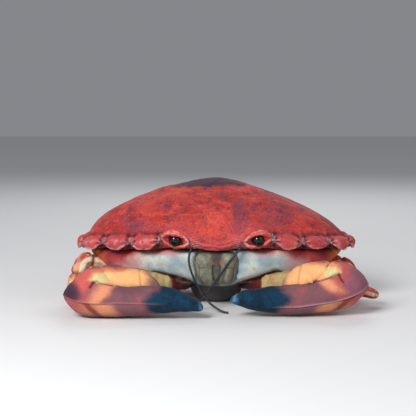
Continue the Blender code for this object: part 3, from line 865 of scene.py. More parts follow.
class Shape:
    """Modelling steps that the pieces share."""

    merge_distance = 2e-6
    pressure = 4.0
    cloth_steps = 20

    @staticmethod
    def only(piece: bpy.types.Object) -> None:
        """Select one piece alone and make it active."""
        Shape.select_none()
        piece.select_set(True)
        bpy.context.view_layer.objects.active = piece

    @staticmethod
    def copy_node(node: str, name: str) -> bpy.types.Object:
        """Copy a CAD node's mesh as a new piece with its loose corners merged.

        Args:
            node: The CAD node.
            name: The piece's name.

        Returns:
            The new piece.
        """
        bm = bmesh.new()
        bm.from_mesh(frame["nodes"][node].data)
        bmesh.ops.remove_doubles(bm, verts=bm.verts, dist=Shape.merge_distance)
        return Shape.from_bmesh(bm, name)

    @staticmethod
    def from_bmesh(bm: bmesh.types.BMesh, name: str) -> bpy.types.Object:
        """Turn a finished bmesh into a piece.

        Args:
            bm: The bmesh, which is freed.
            name: The piece's name.

        Returns:
            The piece.
        """
        mesh = bpy.data.meshes.new(name)
        bm.to_mesh(mesh)
        bm.free()
        return Shape.add(name, mesh)

    @staticmethod
    def add(name: str, data: bpy.types.ID) -> bpy.types.Object:
        """Put a new object into the scene.

        Args:
            name: Its name.
            data: Its mesh, lamp or lens.

        Returns:
            The object.
        """
        piece = bpy.data.objects.new(name, data)
        bpy.context.scene.collection.objects.link(piece)
        return piece

    @classmethod
    def apply(cls, piece: bpy.types.Object, kind: str, **settings: object) -> None:
        """Add a modifier and apply it.

        Args:
            piece: The piece.
            kind: The modifier's type.
            settings: Its settings.
        """
        modifier = piece.modifiers.new(kind.lower(), kind)
        for key, value in settings.items():
            setattr(modifier, key, value)
        cls.only(piece)
        bpy.ops.object.modifier_apply(modifier=modifier.name)

    @staticmethod
    def select_none() -> None:
        """Deselect everything."""
        for other in bpy.context.view_layer.objects.selected[:]:
            other.select_set(False)

    @classmethod
    def cover(cls, node: str, name: str, voxel: float, smooths: int = 4, rounds: int = 1,
              cap: float | None = None) -> bpy.types.Object:
        """Grow a cover from a CAD node: round its facets off and give it an even, fine skin.

        Args:
            node: The CAD node.
            name: The piece's name.
            voxel: Size of the even skin's faces, before they are split in four.
            smooths: Rounds of smoothing.
            rounds: How often the facets are rounded first.
            cap: The furthest that the filling may push the skin, if it is inflated.

        Returns:
            The undressed piece.
        """
        piece = cls.copy_node(node, name)
        cls.subdivide(piece, rounds)
        cls.apply(piece, "REMESH", mode="VOXEL", voxel_size=voxel)
        cls.apply(piece, "SMOOTH", factor=0.5, iterations=smooths)
        if cap is not None:
            cls.puff(piece, cap)
        cls.subdivide(piece)
        return piece

    @classmethod
    def subdivide(cls, piece: bpy.types.Object, levels: int = 1) -> None:
        """Subdivide a piece smoothly."""
        cls.apply(piece, "SUBSURF", levels=levels, render_levels=levels)

    @staticmethod
    def read(items: bpy.types.bpy_prop_collection, key: str) -> np.ndarray:
        """Read one vector from each item of a mesh.

        Args:
            items: The mesh's points or normals.
            key: The vector's name.

        Returns:
            One row for each item.
        """
        flat = np.empty(len(items) * 3)
        items.foreach_get(key, flat)
        return flat.reshape(-1, 3)

    @classmethod
    def points(cls, piece: bpy.types.Object) -> np.ndarray:
        """The piece's points."""
        return cls.read(piece.data.vertices, "co")

    @classmethod
    def normals(cls, piece: bpy.types.Object) -> np.ndarray:
        """The directions outwards at the piece's points."""
        return cls.read(piece.data.vertex_normals, "vector")

    @staticmethod
    def skin(piece: bpy.types.Object) -> BVHTree:
        """The piece's faces, for looking up the nearest one or the one that a ray hits."""
        mesh = piece.data
        return BVHTree.FromPolygons(
            [v.co for v in mesh.vertices], [tuple(p.vertices) for p in mesh.polygons]
        )

    @staticmethod
    def place(piece: bpy.types.Object, points: np.ndarray) -> None:
        """Move the piece's points."""
        piece.data.vertices.foreach_set("co", points.astype(np.float32).ravel())
        piece.data.update()

    @classmethod
    def raise_by(cls, piece: bpy.types.Object, heights: np.ndarray) -> None:
        """Move each point outwards by its height."""
        cls.place(piece, cls.points(piece) + cls.normals(piece) * heights[:, None])

    @staticmethod
    def mark(piece: bpy.types.Object, **marks: np.ndarray) -> None:
        """Store numbers on the points, for the finish to read.

        Args:
            piece: The piece.
            marks: One array of numbers for each name.
        """
        for name, values in marks.items():
            layer = piece.data.attributes.new(name, "FLOAT", "POINT")
            layer.data.foreach_set("value", values.astype(np.float32))

    @classmethod
    def tuck(cls, piece: bpy.types.Object, against: bpy.types.Object, reach: float,
             depth: float) -> None:
        """Draw a piece's skin into the piece that it is sewn to, so that no gap is left.

        Args:
            piece: The piece.
            against: The piece that it is sewn to.
            reach: Skin nearer than this is drawn in.
            depth: How deep it goes in.
        """
        skin = cls.skin(against)
        points = cls.points(piece)
        for k, point in enumerate(points):
            found, normal, _, apart = skin.find_nearest(Vector(point), reach)
            if found is not None:
                pull = float(ease(np.array(apart), reach, reach * 0.35))
                points[k] = point + (np.array(found - normal * depth) - point) * pull
        cls.place(piece, points)

    @classmethod
    def puff(cls, piece: bpy.types.Object, cap: float) -> None:
        """Swell a piece like a filled cover, by a short cloth simulation.

        Args:
            piece: The piece.
            cap: The furthest that a point may move.
        """
        before = cls.points(piece)
        cloth = piece.modifiers.new("filling", "CLOTH")
        cloth.settings.use_pressure = True
        cloth.settings.uniform_pressure_force = cls.pressure
        cloth.settings.effector_weights.gravity = 0
        cloth.point_cache.frame_end = cls.cloth_steps
        for step in range(1, cls.cloth_steps + 1):
            bpy.context.scene.frame_set(step)
        cls.only(piece)
        bpy.ops.object.modifier_apply(modifier=cloth.name)
        bpy.context.scene.frame_set(1)
        moved = cls.points(piece) - before
        reach = np.linalg.norm(moved, axis=1, keepdims=True)
        moved *= np.minimum(1, cap / np.maximum(reach, 1e-9))
        cls.place(piece, before + moved)

    @staticmethod
    def lumps(points: np.ndarray, size: float, seed: float) -> np.ndarray:
        """Soft uneven heights between about -1 and 1, as of stuffing under cloth.

        Args:
            points: Where.
            size: Distance from lump to lump.
            seed: Gives another pattern.

        Returns:
            The heights.
        """
        turn = 2 * math.pi / size
        total = np.zeros(len(points))
        for k in range(6):
            angle = seed + k * 2.399
            direction = np.array((math.cos(angle), math.sin(angle * 1.7), math.sin(angle + 1.1)))
            bend = np.sin(points @ np.roll(direction, 1) * turn * 0.6 + k) * 0.9
            total += np.sin(points @ direction * turn * (0.7 + 0.13 * k) + bend + k * seed)
        return total / 3.2

    @staticmethod
    def dress(piece: bpy.types.Object, material: bpy.types.Material, slot: str,
              *nodes: str, fill: float | None = None) -> bpy.types.Object:
        """Give a finished piece its material, its body and the CAD nodes it stands for.

        Args:
            piece: The piece.
            material: Its finish.
            slot: The record's slot; not used.
            nodes: The CAD nodes that it replaces.
            fill: How full it is, if it is stuffed; not used.

        Returns:
            The piece.
        """
        piece.data.materials.clear()
        piece.data.materials.append(material)
        Shape.only(piece)
        bpy.ops.object.shade_smooth()
        if nodes:
            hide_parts(*nodes)
        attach(piece, BODY)
        LOG.info("%s: %d faces", piece.name, len(piece.data.polygons))
        return piece


@dataclass
class RimLine:
    """The line of the shell's rim, measured along its length from the brow to the back."""

    half_width: float = 0.1100
    front: float = 0.0500
    back: float = 0.0820
    middle_y: float = -0.0160
    squareness: float = 2.3
    brow_reach: float = 0.0035
    brow_half_width: float = 0.0160
    height: float = 0.0545
    side_drop: float = 0.0040
    brow_dip: float = 0.0035
    eye_arch: float = 0.0080
    eye_arch_half_width: float = 0.0110
    eye_spacing: float = 0.0325
    lobe_pitch: float = 0.0245
    lobes: int = 6
    brow_length: float = 0.0450
    inset: float = 0.0060
    tie_roll: tuple[float, float] = (0.0014, 0.0025)
    lobe_roll: tuple[float, float] = (0.0058, 0.0062)
    sag: float = 0.0020
    samples: int = 900

    def __post_init__(self) -> None:
        """Measure the line once."""
        angle = np.linspace(0, math.pi, self.samples)
        power = 2 / self.squareness
        x = self.half_width * np.abs(np.sin(angle)) ** power
        forward = np.cos(angle)
        reach = np.abs(forward) ** power
        y = self.middle_y + np.where(forward > 0, -self.front, self.back) * reach
        y = np.where(forward > 0, y - self.brow_reach * bell(x, self.brow_half_width), y)
        self.line = np.stack((x, y), 1)
        steps = np.linalg.norm(np.diff(self.line, axis=0), axis=1)
        self.lengths = np.concatenate(((0.0,), np.cumsum(steps)))
        ahead = np.gradient(self.line, axis=0)
        outward = np.stack((ahead[:, 1], -ahead[:, 0]), 1)
        self.outward = outward / np.linalg.norm(outward, axis=1, keepdims=True)
        rise = self.eye_arch * bell(x - self.eye_spacing, self.eye_arch_half_width)
        rise -= self.brow_dip * bell(x, self.brow_half_width)
        plain = self.height - self.side_drop * (x / self.half_width) ** 3
        self.heights = plain + np.where(forward > 0, rise, 0.0)

    def near(self, points: np.ndarray) -> tuple[np.ndarray, np.ndarray, np.ndarray]:
        """Find where points lie against the rim.

        Args:
            points: Points in the frame.

        Returns:
            Length along the rim, distance outwards from it and height above it, for each point.
        """
        tree = point_tree([(x, y, 0.0) for x, y in self.line])
        local = points - STAND
        found = np.array([tree.find((abs(x), y, 0.0))[1] for x, y, _ in local])
        flat = np.stack((np.abs(local[:, 0]), local[:, 1]), 1) - self.line[found]
        out = (flat * self.outward[found]).sum(1)
        return self.lengths[found], out, local[:, 2] - self.heights[found]

    def at(self, length: float) -> tuple[np.ndarray, np.ndarray, float]:
        """The point, outward direction and height at a length along the rim, on the left side."""
        k = int(np.searchsorted(self.lengths, length))
        return self.line[k], self.outward[k], float(self.heights[k])

    def fullness(self, length: np.ndarray) -> np.ndarray:
        """How full the rim is.

        Args:
            length: Lengths along the rim.

        Returns:
            0 where a thread ties it in, 1 at the crown of a lobe.
        """
        run = (length - self.brow_length) / self.lobe_pitch
        wave = np.abs(np.sin(math.pi * run)) ** 0.7
        wave *= 1 - 0.6 * np.clip((run / self.lobes - 0.6) / 0.4, 0, None)
        return np.where(run < 0, 0.35, np.where(run > self.lobes, 0.25, wave))

    def tie_lengths(self) -> list[float]:
        """Where the threads tie the rim in."""
        return [self.brow_length + self.lobe_pitch * k for k in range(self.lobes + 1)]


@dataclass
class Shell:
    """The top shell with its gathered rim, and the threads that tie it."""

    rim: RimLine
    voxel: float = 0.0019
    lump_height: float = 0.00050
    fold_depth: float = 0.0013
    fan_height: float = 0.00055
    hem_height: float = 0.0007
    pleat_height: float = 0.0005
    brow_fold_height: float = 0.00105
    brow_fold_pitch: float = 0.0046
    swell: float = 0.0009
    thread_radius: float = 0.00034
    thread_turns: int = 3
    thread_points: tuple[int, int] = (32, 6)
    tie_reach: float = 0.0042
    hem_angle: float = -40.0
    crease_angle: float = 116.0
    crown_angle: float = 25.0
    fan_spokes: int = 8
    fan_bend: float = 0.085
    fan_middle: float = 3.5
    fan_half_width: float = 3.2
    wrinkle_place: tuple[float, float] = (-12.5, 51.5)
    wrinkle_half_size: tuple[float, float] = (7.5, 4.4)
    wrinkle_waves: float = 3.4

    def build(self) -> bpy.types.Object:
        """Make and dress the shell and its ties.

        Returns:
            The shell.
        """
        piece = Shape.cover("carapace", "shell_cover", self.voxel)
        points = Shape.points(piece)
        length, out, high = self.rim.near(points)
        marks = self.marks(points, length, out, high)
        heights = self.relief(points, length, out, high, marks)
        Shape.raise_by(piece, heights)
        shown = ("rim", "fold", "edge", "crown")
        Shape.mark(piece, **{name: np.clip(marks[name], 0, 1) for name in shown})
        Shape.dress(piece, ShellPrint().material(), "shell_print", "carapace", fill=0.7)
        self.ties(piece)
        return piece

    def marks(self, points: np.ndarray, length: np.ndarray, out: np.ndarray,
              high: np.ndarray) -> dict[str, np.ndarray]:
        """Where the rim, its folds, its hem and its ties lie.

        Args:
            points: The shell's points.
            length: Length along the rim.
            out: Distance outwards from the rim.
            high: Height above the rim.

        Returns:
            One array for each of them.
        """
        rim = self.rim
        ties = np.array(rim.tie_lengths())
        off = length[:, None] - ties[None, :]
        off = off[np.arange(len(off)), np.abs(off).argmin(1)]
        full = 0.35 + 0.65 * rim.fullness(length)
        roll_wide = rim.tie_roll[0] + (rim.lobe_roll[0] - rim.tie_roll[0]) * full
        roll_high = rim.tie_roll[1] + (rim.lobe_roll[1] - rim.tie_roll[1]) * full
        u = (out + rim.inset * 0.35) / roll_wide
        v = (high + rim.sag * full) / roll_high
        roll = np.degrees(np.arctan2(v, u))
        near = ease(np.hypot(u, v), 2.1, 1.35)
        gathered = ease(length, rim.brow_length - 0.004, rim.brow_length + 0.001)
        fade = ease(length, ties[-1] + 0.02, ties[-1] - 0.03)
        wobble = Shape.lumps(points, 0.016, 2.0)
        eye = bell(np.abs(points[:, 0] - MIDDLE_X) - rim.eye_spacing, 0.013)
        lobed = gathered * fade
        hem = self.hem_angle + wobble * 8 + 16 * (1 - rim.fullness(length))
        fan = self.fan(roll, off) * near * lobed
        wrinkle = self.wrinkles(points)
        return {
            "rim": near * ease(points[:, 2], 0.036, 0.043),
            # Where the rim creases, hangs under its hem, is pulled in at the ties and dips between
            # folds; the print paints it dark as painted shade.
            "fold": near * bell(roll - self.crease_angle - wobble * 6, 9) * (0.20 + 0.55 * lobed)
            + near * bell(roll - hem + 22, 11) * (0.35 + 0.65 * lobed) * (1 - eye)
            + near * ease(roll, hem - 8, hem - 24) * ease(roll, -150, -110) * lobed * 0.8
            + near * lobed * bell(np.abs(off) - 0.0028, 0.0013) * 0.5
            + np.clip(-fan, 0, 1) * 0.7 + np.clip(-wrinkle, 0, 1) * 0.9,
            # The pale stitched hem, and the crests of the fans and wrinkles, which the print paints
            # pale as a painted highlight.
            "edge": near * bell(roll - hem, 9) * (0.2 + 0.8 * lobed) * (1 - eye)
            * (0.70 + 0.30 * Shape.lumps(points, 0.006, 7.0))
            + np.clip(fan, 0, 1) * 0.45 + np.clip(wrinkle, 0, 1) * 0.8,
            "fan": fan + wrinkle * 1.1,
            # Where the lobes' crowns bulge; the print paints them pale as a painted highlight.
            "crown": near * bell(roll - self.crown_angle, 32) * rim.fullness(length) * lobed
            * ease(Shape.lumps(points, 0.009, 5.0), -0.2, 0.6),
            "tie": near * bell(off, 0.0017) * lobed,
            "lobe": near * rim.fullness(length) * lobed,
            "off": off,
            "gathered": gathered,
            "eye": eye,
        }

    def fan(self, roll: np.ndarray, off: np.ndarray) -> np.ndarray:
        """Folds that fan out of the ties.

        Args:
            roll: Angle round the rim's roll, in degrees.
            off: Distance along the rim from the nearest tie.

        Returns:
            Above 0 on a fold, below 0 between folds, 0 away from the ties.
        """
        around = (roll + 8) * self.fan_bend
        spokes = np.arctan2(around, np.abs(off) / MM + 0.6) * self.fan_spokes
        reach = np.hypot(off / MM, around) - self.fan_middle
        return np.cos(spokes + np.sign(off) * 1.3) * bell(reach, self.fan_half_width)

    def wrinkles(self, points: np.ndarray) -> np.ndarray:
        """Wrinkles of the shell at the inner corner of each lid.

        Args:
            points: The shell's points.

        Returns:
            Above 0 on a wrinkle, below 0 between wrinkles, 0 elsewhere.
        """
        (x0, z0), (wide, tall) = self.wrinkle_place, self.wrinkle_half_size
        across = (np.abs(points[:, 0] - MIDDLE_X) - self.rim.eye_spacing) / MM - x0
        upward = points[:, 2] / MM - z0
        waves = np.cos((upward + across * 0.35) * self.wrinkle_waves + np.sin(across * 0.9))
        waves *= points[:, 1] < -0.03
        return waves * bell(np.hypot(across / wide, upward / tall), 1.0)

    def relief(self, points: np.ndarray, length: np.ndarray, out: np.ndarray, high: np.ndarray,
               marks: dict[str, np.ndarray]) -> np.ndarray:
        """Heights of the shell's lumps, pleats, folds and hem.

        Args:
            points: The shell's points.
            length: Length along the rim.
            out: Distance outwards from the rim.
            high: Height above the rim.
            marks: The marks of the same points.

        Returns:
            The heights.
        """
        lumps = Shape.lumps(points, 0.045, 1.0) * self.lump_height
        lumps += Shape.lumps(points, 0.013, 4.0) * self.lump_height * 0.30
        inward = np.hypot(np.minimum(out, 0), np.maximum(high, 0))
        around = np.arctan2(marks["off"], inward + 0.0015)
        reach = np.hypot(marks["off"], inward)
        pleats = np.cos(around * 9 + np.sin(length * 700)) * bell(reach - 0.006, 0.006)
        pleats *= marks["gathered"] * self.pleat_height * ease(points[:, 2], 0.046, 0.050)
        wander = Shape.lumps(points, 0.020, 9.0)
        local = points - STAND
        brow = bell(local[:, 0], 0.019) * bell(high - 0.0005, 0.0055)
        brow *= ease(local[:, 1], -0.04, -0.055)
        brow *= 0.6 + 0.4 * Shape.lumps(points, 0.012, 3.0)
        waves = np.cos(high * 2 * math.pi / self.brow_fold_pitch + wander * 2.2 + local[:, 0] * 60)
        brow_folds = waves * brow * self.brow_fold_height * (1 - marks["eye"])
        # The valleys of the brow's folds get painted shade too.
        marks["fold"] += brow * ease(-waves, 0.45, 1.0) * 0.9 * (1 - marks["eye"])
        folds = -marks["fold"] * self.fold_depth
        hem = marks["edge"] * self.hem_height
        swell = (marks["lobe"] * 0.8 - marks["tie"] * 0.9) * self.swell
        fan = marks["fan"] * self.fan_height
        return lumps + pleats + brow_folds + folds + hem + swell + fan

    def ties(self, shell: bpy.types.Object) -> None:
        """Wind the threads round the rim where it is gathered.

        Args:
            shell: The shell that they lie on.
        """
        skin = Shape.skin(shell)
        rings = [
            self.tie_ring(skin, side, length, turn, number)
            for side in Side
            for number, length in enumerate(self.rim.tie_lengths()[:-1])
            for turn in range(self.thread_turns)
        ]
        for ring in rings:
            ring.select_set(True)
        bpy.context.view_layer.objects.active = rings[0]
        bpy.ops.object.join()
        piece = rings[0]
        piece.name = "rim_ties"
        Shape.dress(piece, TieThread().material(), "shell_print")

    def tie_ring(self, skin: BVHTree, side: Side, length: float, turn: int,
                 number: int) -> bpy.types.Object:
        """One turn of thread, laid on the skin of the rim.

        Args:
            skin: The shell's skin.
            side: The crab's side.
            length: Length along the rim.
            turn: Which turn of the tie.
            number: Which tie.

        Returns:
            The ring.
        """
        spread = (turn - (self.thread_turns - 1) / 2) * self.thread_radius * 2.2
        lean = (0.16 * math.sin(number * 2.1 + side.value), -0.10, 0.14)[turn % 3]
        point, outward, height = self.rim.at(length + spread)
        outward = np.array((side.value * outward[0], outward[1], 0.0))
        ahead = np.array((-outward[1], outward[0], 0.0))
        middle = np.array((side.value * point[0], point[1], height - 0.0008)) + STAND
        middle = middle - outward * self.rim.inset * 0.35
        Shape.select_none()
        steps, tube = self.thread_points
        thin = 0.13
        bpy.ops.mesh.primitive_torus_add(
            major_segments=steps, minor_segments=tube, major_radius=1.0, minor_radius=thin
        )
        ring = bpy.context.object
        local = Shape.points(ring)
        angle = np.arctan2(local[:, 1], local[:, 0])
        swell = (np.hypot(local[:, 0], local[:, 1]) - 1) / thin
        placed = np.empty_like(local)
        for k, turned in enumerate(angle):
            heading = outward * math.cos(turned) + np.array((0, 0, math.sin(turned)))
            heading += ahead * lean * math.sin(turned)
            found, _, _, apart = skin.ray_cast(Vector(middle), Vector(heading), self.tie_reach)
            reach = apart if found is not None else self.tie_reach
            across = ahead * local[k, 2] / thin * self.thread_radius
            placed[k] = middle + heading * (reach + self.thread_radius * (0.5 + swell[k])) + across
        Shape.place(ring, placed)
        Shape.only(ring)
        bpy.ops.object.mode_set(mode="EDIT")
        bpy.ops.mesh.select_all(action="SELECT")
        bpy.ops.mesh.normals_make_consistent(inside=False)
        bpy.ops.object.mode_set(mode="OBJECT")
        return ring


@dataclass
class Belly:
    """Cheeks and belly."""

    voxel: float = 0.0022
    flank_sag: float = 0.0060
    lump_heights: tuple[float, float] = (0.0006, 0.0002)
    spots: tuple[Triple, ...] = (
        (-0.0432, 0.0352, 0.0011), (-0.0303, 0.0312, 0.0010), (0.0298, 0.0318, 0.0011),
        (0.0430, 0.0360, 0.0010), (-0.0700, 0.0400, 0.0009), (0.0660, 0.0395, 0.0009),
    )

    def build(self) -> bpy.types.Object:
        """Make and dress the underbody.

        Returns:
            The underbody.
        """
        piece = Shape.cover("underbody", "belly_cover", self.voxel, smooths=5)
        points = Shape.points(piece)
        floor = ease(points[:, 2], 0.0005, 0.004)
        coarse, fine = self.lump_heights
        heights = Shape.lumps(points, 0.04, 5.0) * coarse + Shape.lumps(points, 0.013, 6.0) * fine
        Shape.raise_by(piece, heights * floor)
        points = Shape.points(piece)
        wide = np.abs(points[:, 0] - MIDDLE_X)
        sag = ease(wide, 0.045, 0.062) * ease(wide, 0.100, 0.084) * ease(points[:, 1], 0.0, -0.02)
        points[:, 2] -= sag * bell(points[:, 2] - 0.031, 0.009) * self.flank_sag
        Shape.place(piece, points)
        local = points - STAND
        spot = np.zeros(len(local))
        for x, z, radius in self.spots:
            apart = np.hypot(local[:, 0] - x, local[:, 2] - z)
            spot = np.maximum(spot, ease(apart, radius * 1.5, radius * 0.4) * (local[:, 1] < 0))
        Shape.mark(piece, spot=spot * 0.7)
        return Shape.dress(piece, BellyPrint().material(), "belly_print", "underbody", fill=0.7)


@dataclass
class MouthPanel:
    """The gusset between the cheeks, with two mouth plates printed and quilted on it.

    Its lines are points (x, z) in millimetres from the middle plane.
    """

    cheeks: bpy.types.Object
    voxel: float = 0.0009
    plate: Line = (
        (17.8, 41.6), (15.4, 37.0), (13.2, 33.0), (12.9, 28.0), (12.0, 23.5), (10.6, 20.0),
    )
    arch: Line = (
        (17.6, 40.8), (15.6, 43.2), (12.7, 44.6), (9.0, 43.9), (5.6, 41.6), (3.4, 38.6),
    )
    arch_end: Line = ((5.0, 40.8), (3.4, 38.4), (2.9, 36.4))
    cross: Line = ((13.3, 33.6), (8.2, 34.0), (6.2, 37.2))
    outer: Line = ((18.6, 40.0), (17.9, 33.0), (16.6, 27.0), (15.0, 21.5))
    middle: Line = ((2.6, 35.0), (2.9, 29.0), (1.9, 23.0))

    def build(self) -> None:
        """Make and dress the panel."""
        piece = Shape.cover("mouth_panel", "mouth_cover", self.voxel)
        local = Shape.points(piece) - STAND
        across, high = np.abs(local[:, 0]) * TO_MM, local[:, 2] * TO_MM
        front = (Shape.normals(piece)[:, 1] < 0.2).astype(float)
        line = sum(stroke(across, high, path, 0.42) for path in (self.plate, self.cross))
        faint = stroke(across, high, self.arch, 0.4) + stroke(across, high, self.outer, 0.5)
        line = np.clip(line + 0.6 * faint, 0, 1) * front
        salmon = stroke(across, high, self.arch_end, 0.9) * front
        groove = stroke(across, high, self.middle, 0.7) * front
        # Hollows down the middle, between the arches and under the brow, which the print darkens as
        # painted shade.
        valley = ease(across, 6.5, 2.5) * ease(high, 32.0, 40.0) + ease(across, 3.6, 1.5) * 0.8
        valley = np.clip(valley + ease(high, 43.5, 46.0) * 0.8, 0, 1) * front
        bulge = np.sin(math.pi * np.clip((across - 2.2) / 13.5, 0, 1)) * ease(high, 46, 40)
        bulge *= ease(high, 17.5, 24.0) * front
        relief = bulge * 0.0011 - line * 0.0003 - groove * 0.0008 - valley * 0.0006
        Shape.raise_by(piece, relief + Shape.lumps(local, 0.010, 3.0) * 0.0002)
        Shape.tuck(piece, self.cheeks, 0.0009, 0.0003)
        Shape.mark(piece, line=line, salmon=salmon, groove=groove, valley=valley)
        Shape.dress(piece, MouthPrint().material(), "mouth_print", "mouth_panel", fill=0.6)


@dataclass
class Face:
    """Bead eyes and their lids."""

    shell: bpy.types.Object
    voxel: float = 0.0006
    lean: float = 0.16
    flatness: float = 1.75
    hood_drop: float = 0.0004
    hood_reach: float = 0.0008

    def build(self) -> None:
        """Make and dress both eyes and lids."""
        gloss, print_ = BeadGloss().material(), LidPrint().material()
        for side in Side:
            self.bead(side, gloss)
            self.lid(side, print_)

    def bead(self, side: Side, gloss: bpy.types.Material) -> None:
        """A round bead where the CAD bead is.

        Args:
            side: The crab's side.
            gloss: The finish.
        """
        node = f"eye_{side.word}"
        low, high = (np.array(corner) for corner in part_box(node))
        Shape.select_none()
        bpy.ops.mesh.primitive_uv_sphere_add(
            segments=48, ring_count=24, radius=1.0, location=(0, 0, 0)
        )
        piece = bpy.context.object
        piece.name = f"bead_{side.word}"
        middle = (low + high) / 2
        radius = (high[2] - low[2]) / 2
        Shape.place(piece, Shape.points(piece) * radius + middle)
        Shape.dress(piece, gloss, "bead", node)

    def lid(self, side: Side, print_: bpy.types.Material) -> None:
        """The rolled ring round the bead, sewn into the shell behind it.

        Args:
            side: The crab's side.
            print_: The finish.
        """
        node = f"eyelid_{side.word}"
        piece = Shape.cover(node, f"lid_{side.word}", self.voxel, smooths=6, rounds=2)
        points = Shape.points(piece)
        middle = (np.array(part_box(node)[0]) + np.array(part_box(node)[1])) / 2
        local = points - middle
        tilt = local[:, 2] - self.lean * local[:, 0] * side.value
        angle = np.arctan2(tilt * 1.8, local[:, 0])
        reach = np.hypot(local[:, 0] / self.flatness, tilt)
        heights = Shape.lumps(points, 0.007, 2.0) * 0.0003
        heights += np.cos(angle * 13 + reach * 900) * 0.00014
        heights -= bell(reach - 0.0064, 0.0006) * 0.00045 * ease(tilt, 0.0, 0.002)
        Shape.raise_by(piece, heights)
        points = Shape.points(piece)
        hood = ease(tilt, 0.0015, 0.0045) * bell(reach - 0.0050, 0.0018) * bell(local[:, 0], 0.0075)
        hood *= ease(local[:, 1], 0.001, -0.001)
        points[:, 2] -= hood * self.hood_drop
        points[:, 1] -= hood * self.hood_reach
        Shape.place(piece, points)
        Shape.tuck(piece, self.shell, 0.0011, 0.0004)
        corner = ease(-local[:, 0] * side.value, 0.0055, 0.0085) * ease(reach, 0.0066, 0.0056)
        # Where the lid turns down and where it meets the bead; the print paints these dark as
        # painted shade.
        under = ease(-tilt, 0.0040, 0.0075) + bell(reach - 0.0064, 0.0006) * 0.5
        Shape.mark(piece, inner=ease(reach, 0.0056, 0.0044), corner=corner, under=under)
        Shape.dress(piece, print_, "lid_print", node, fill=0.5)


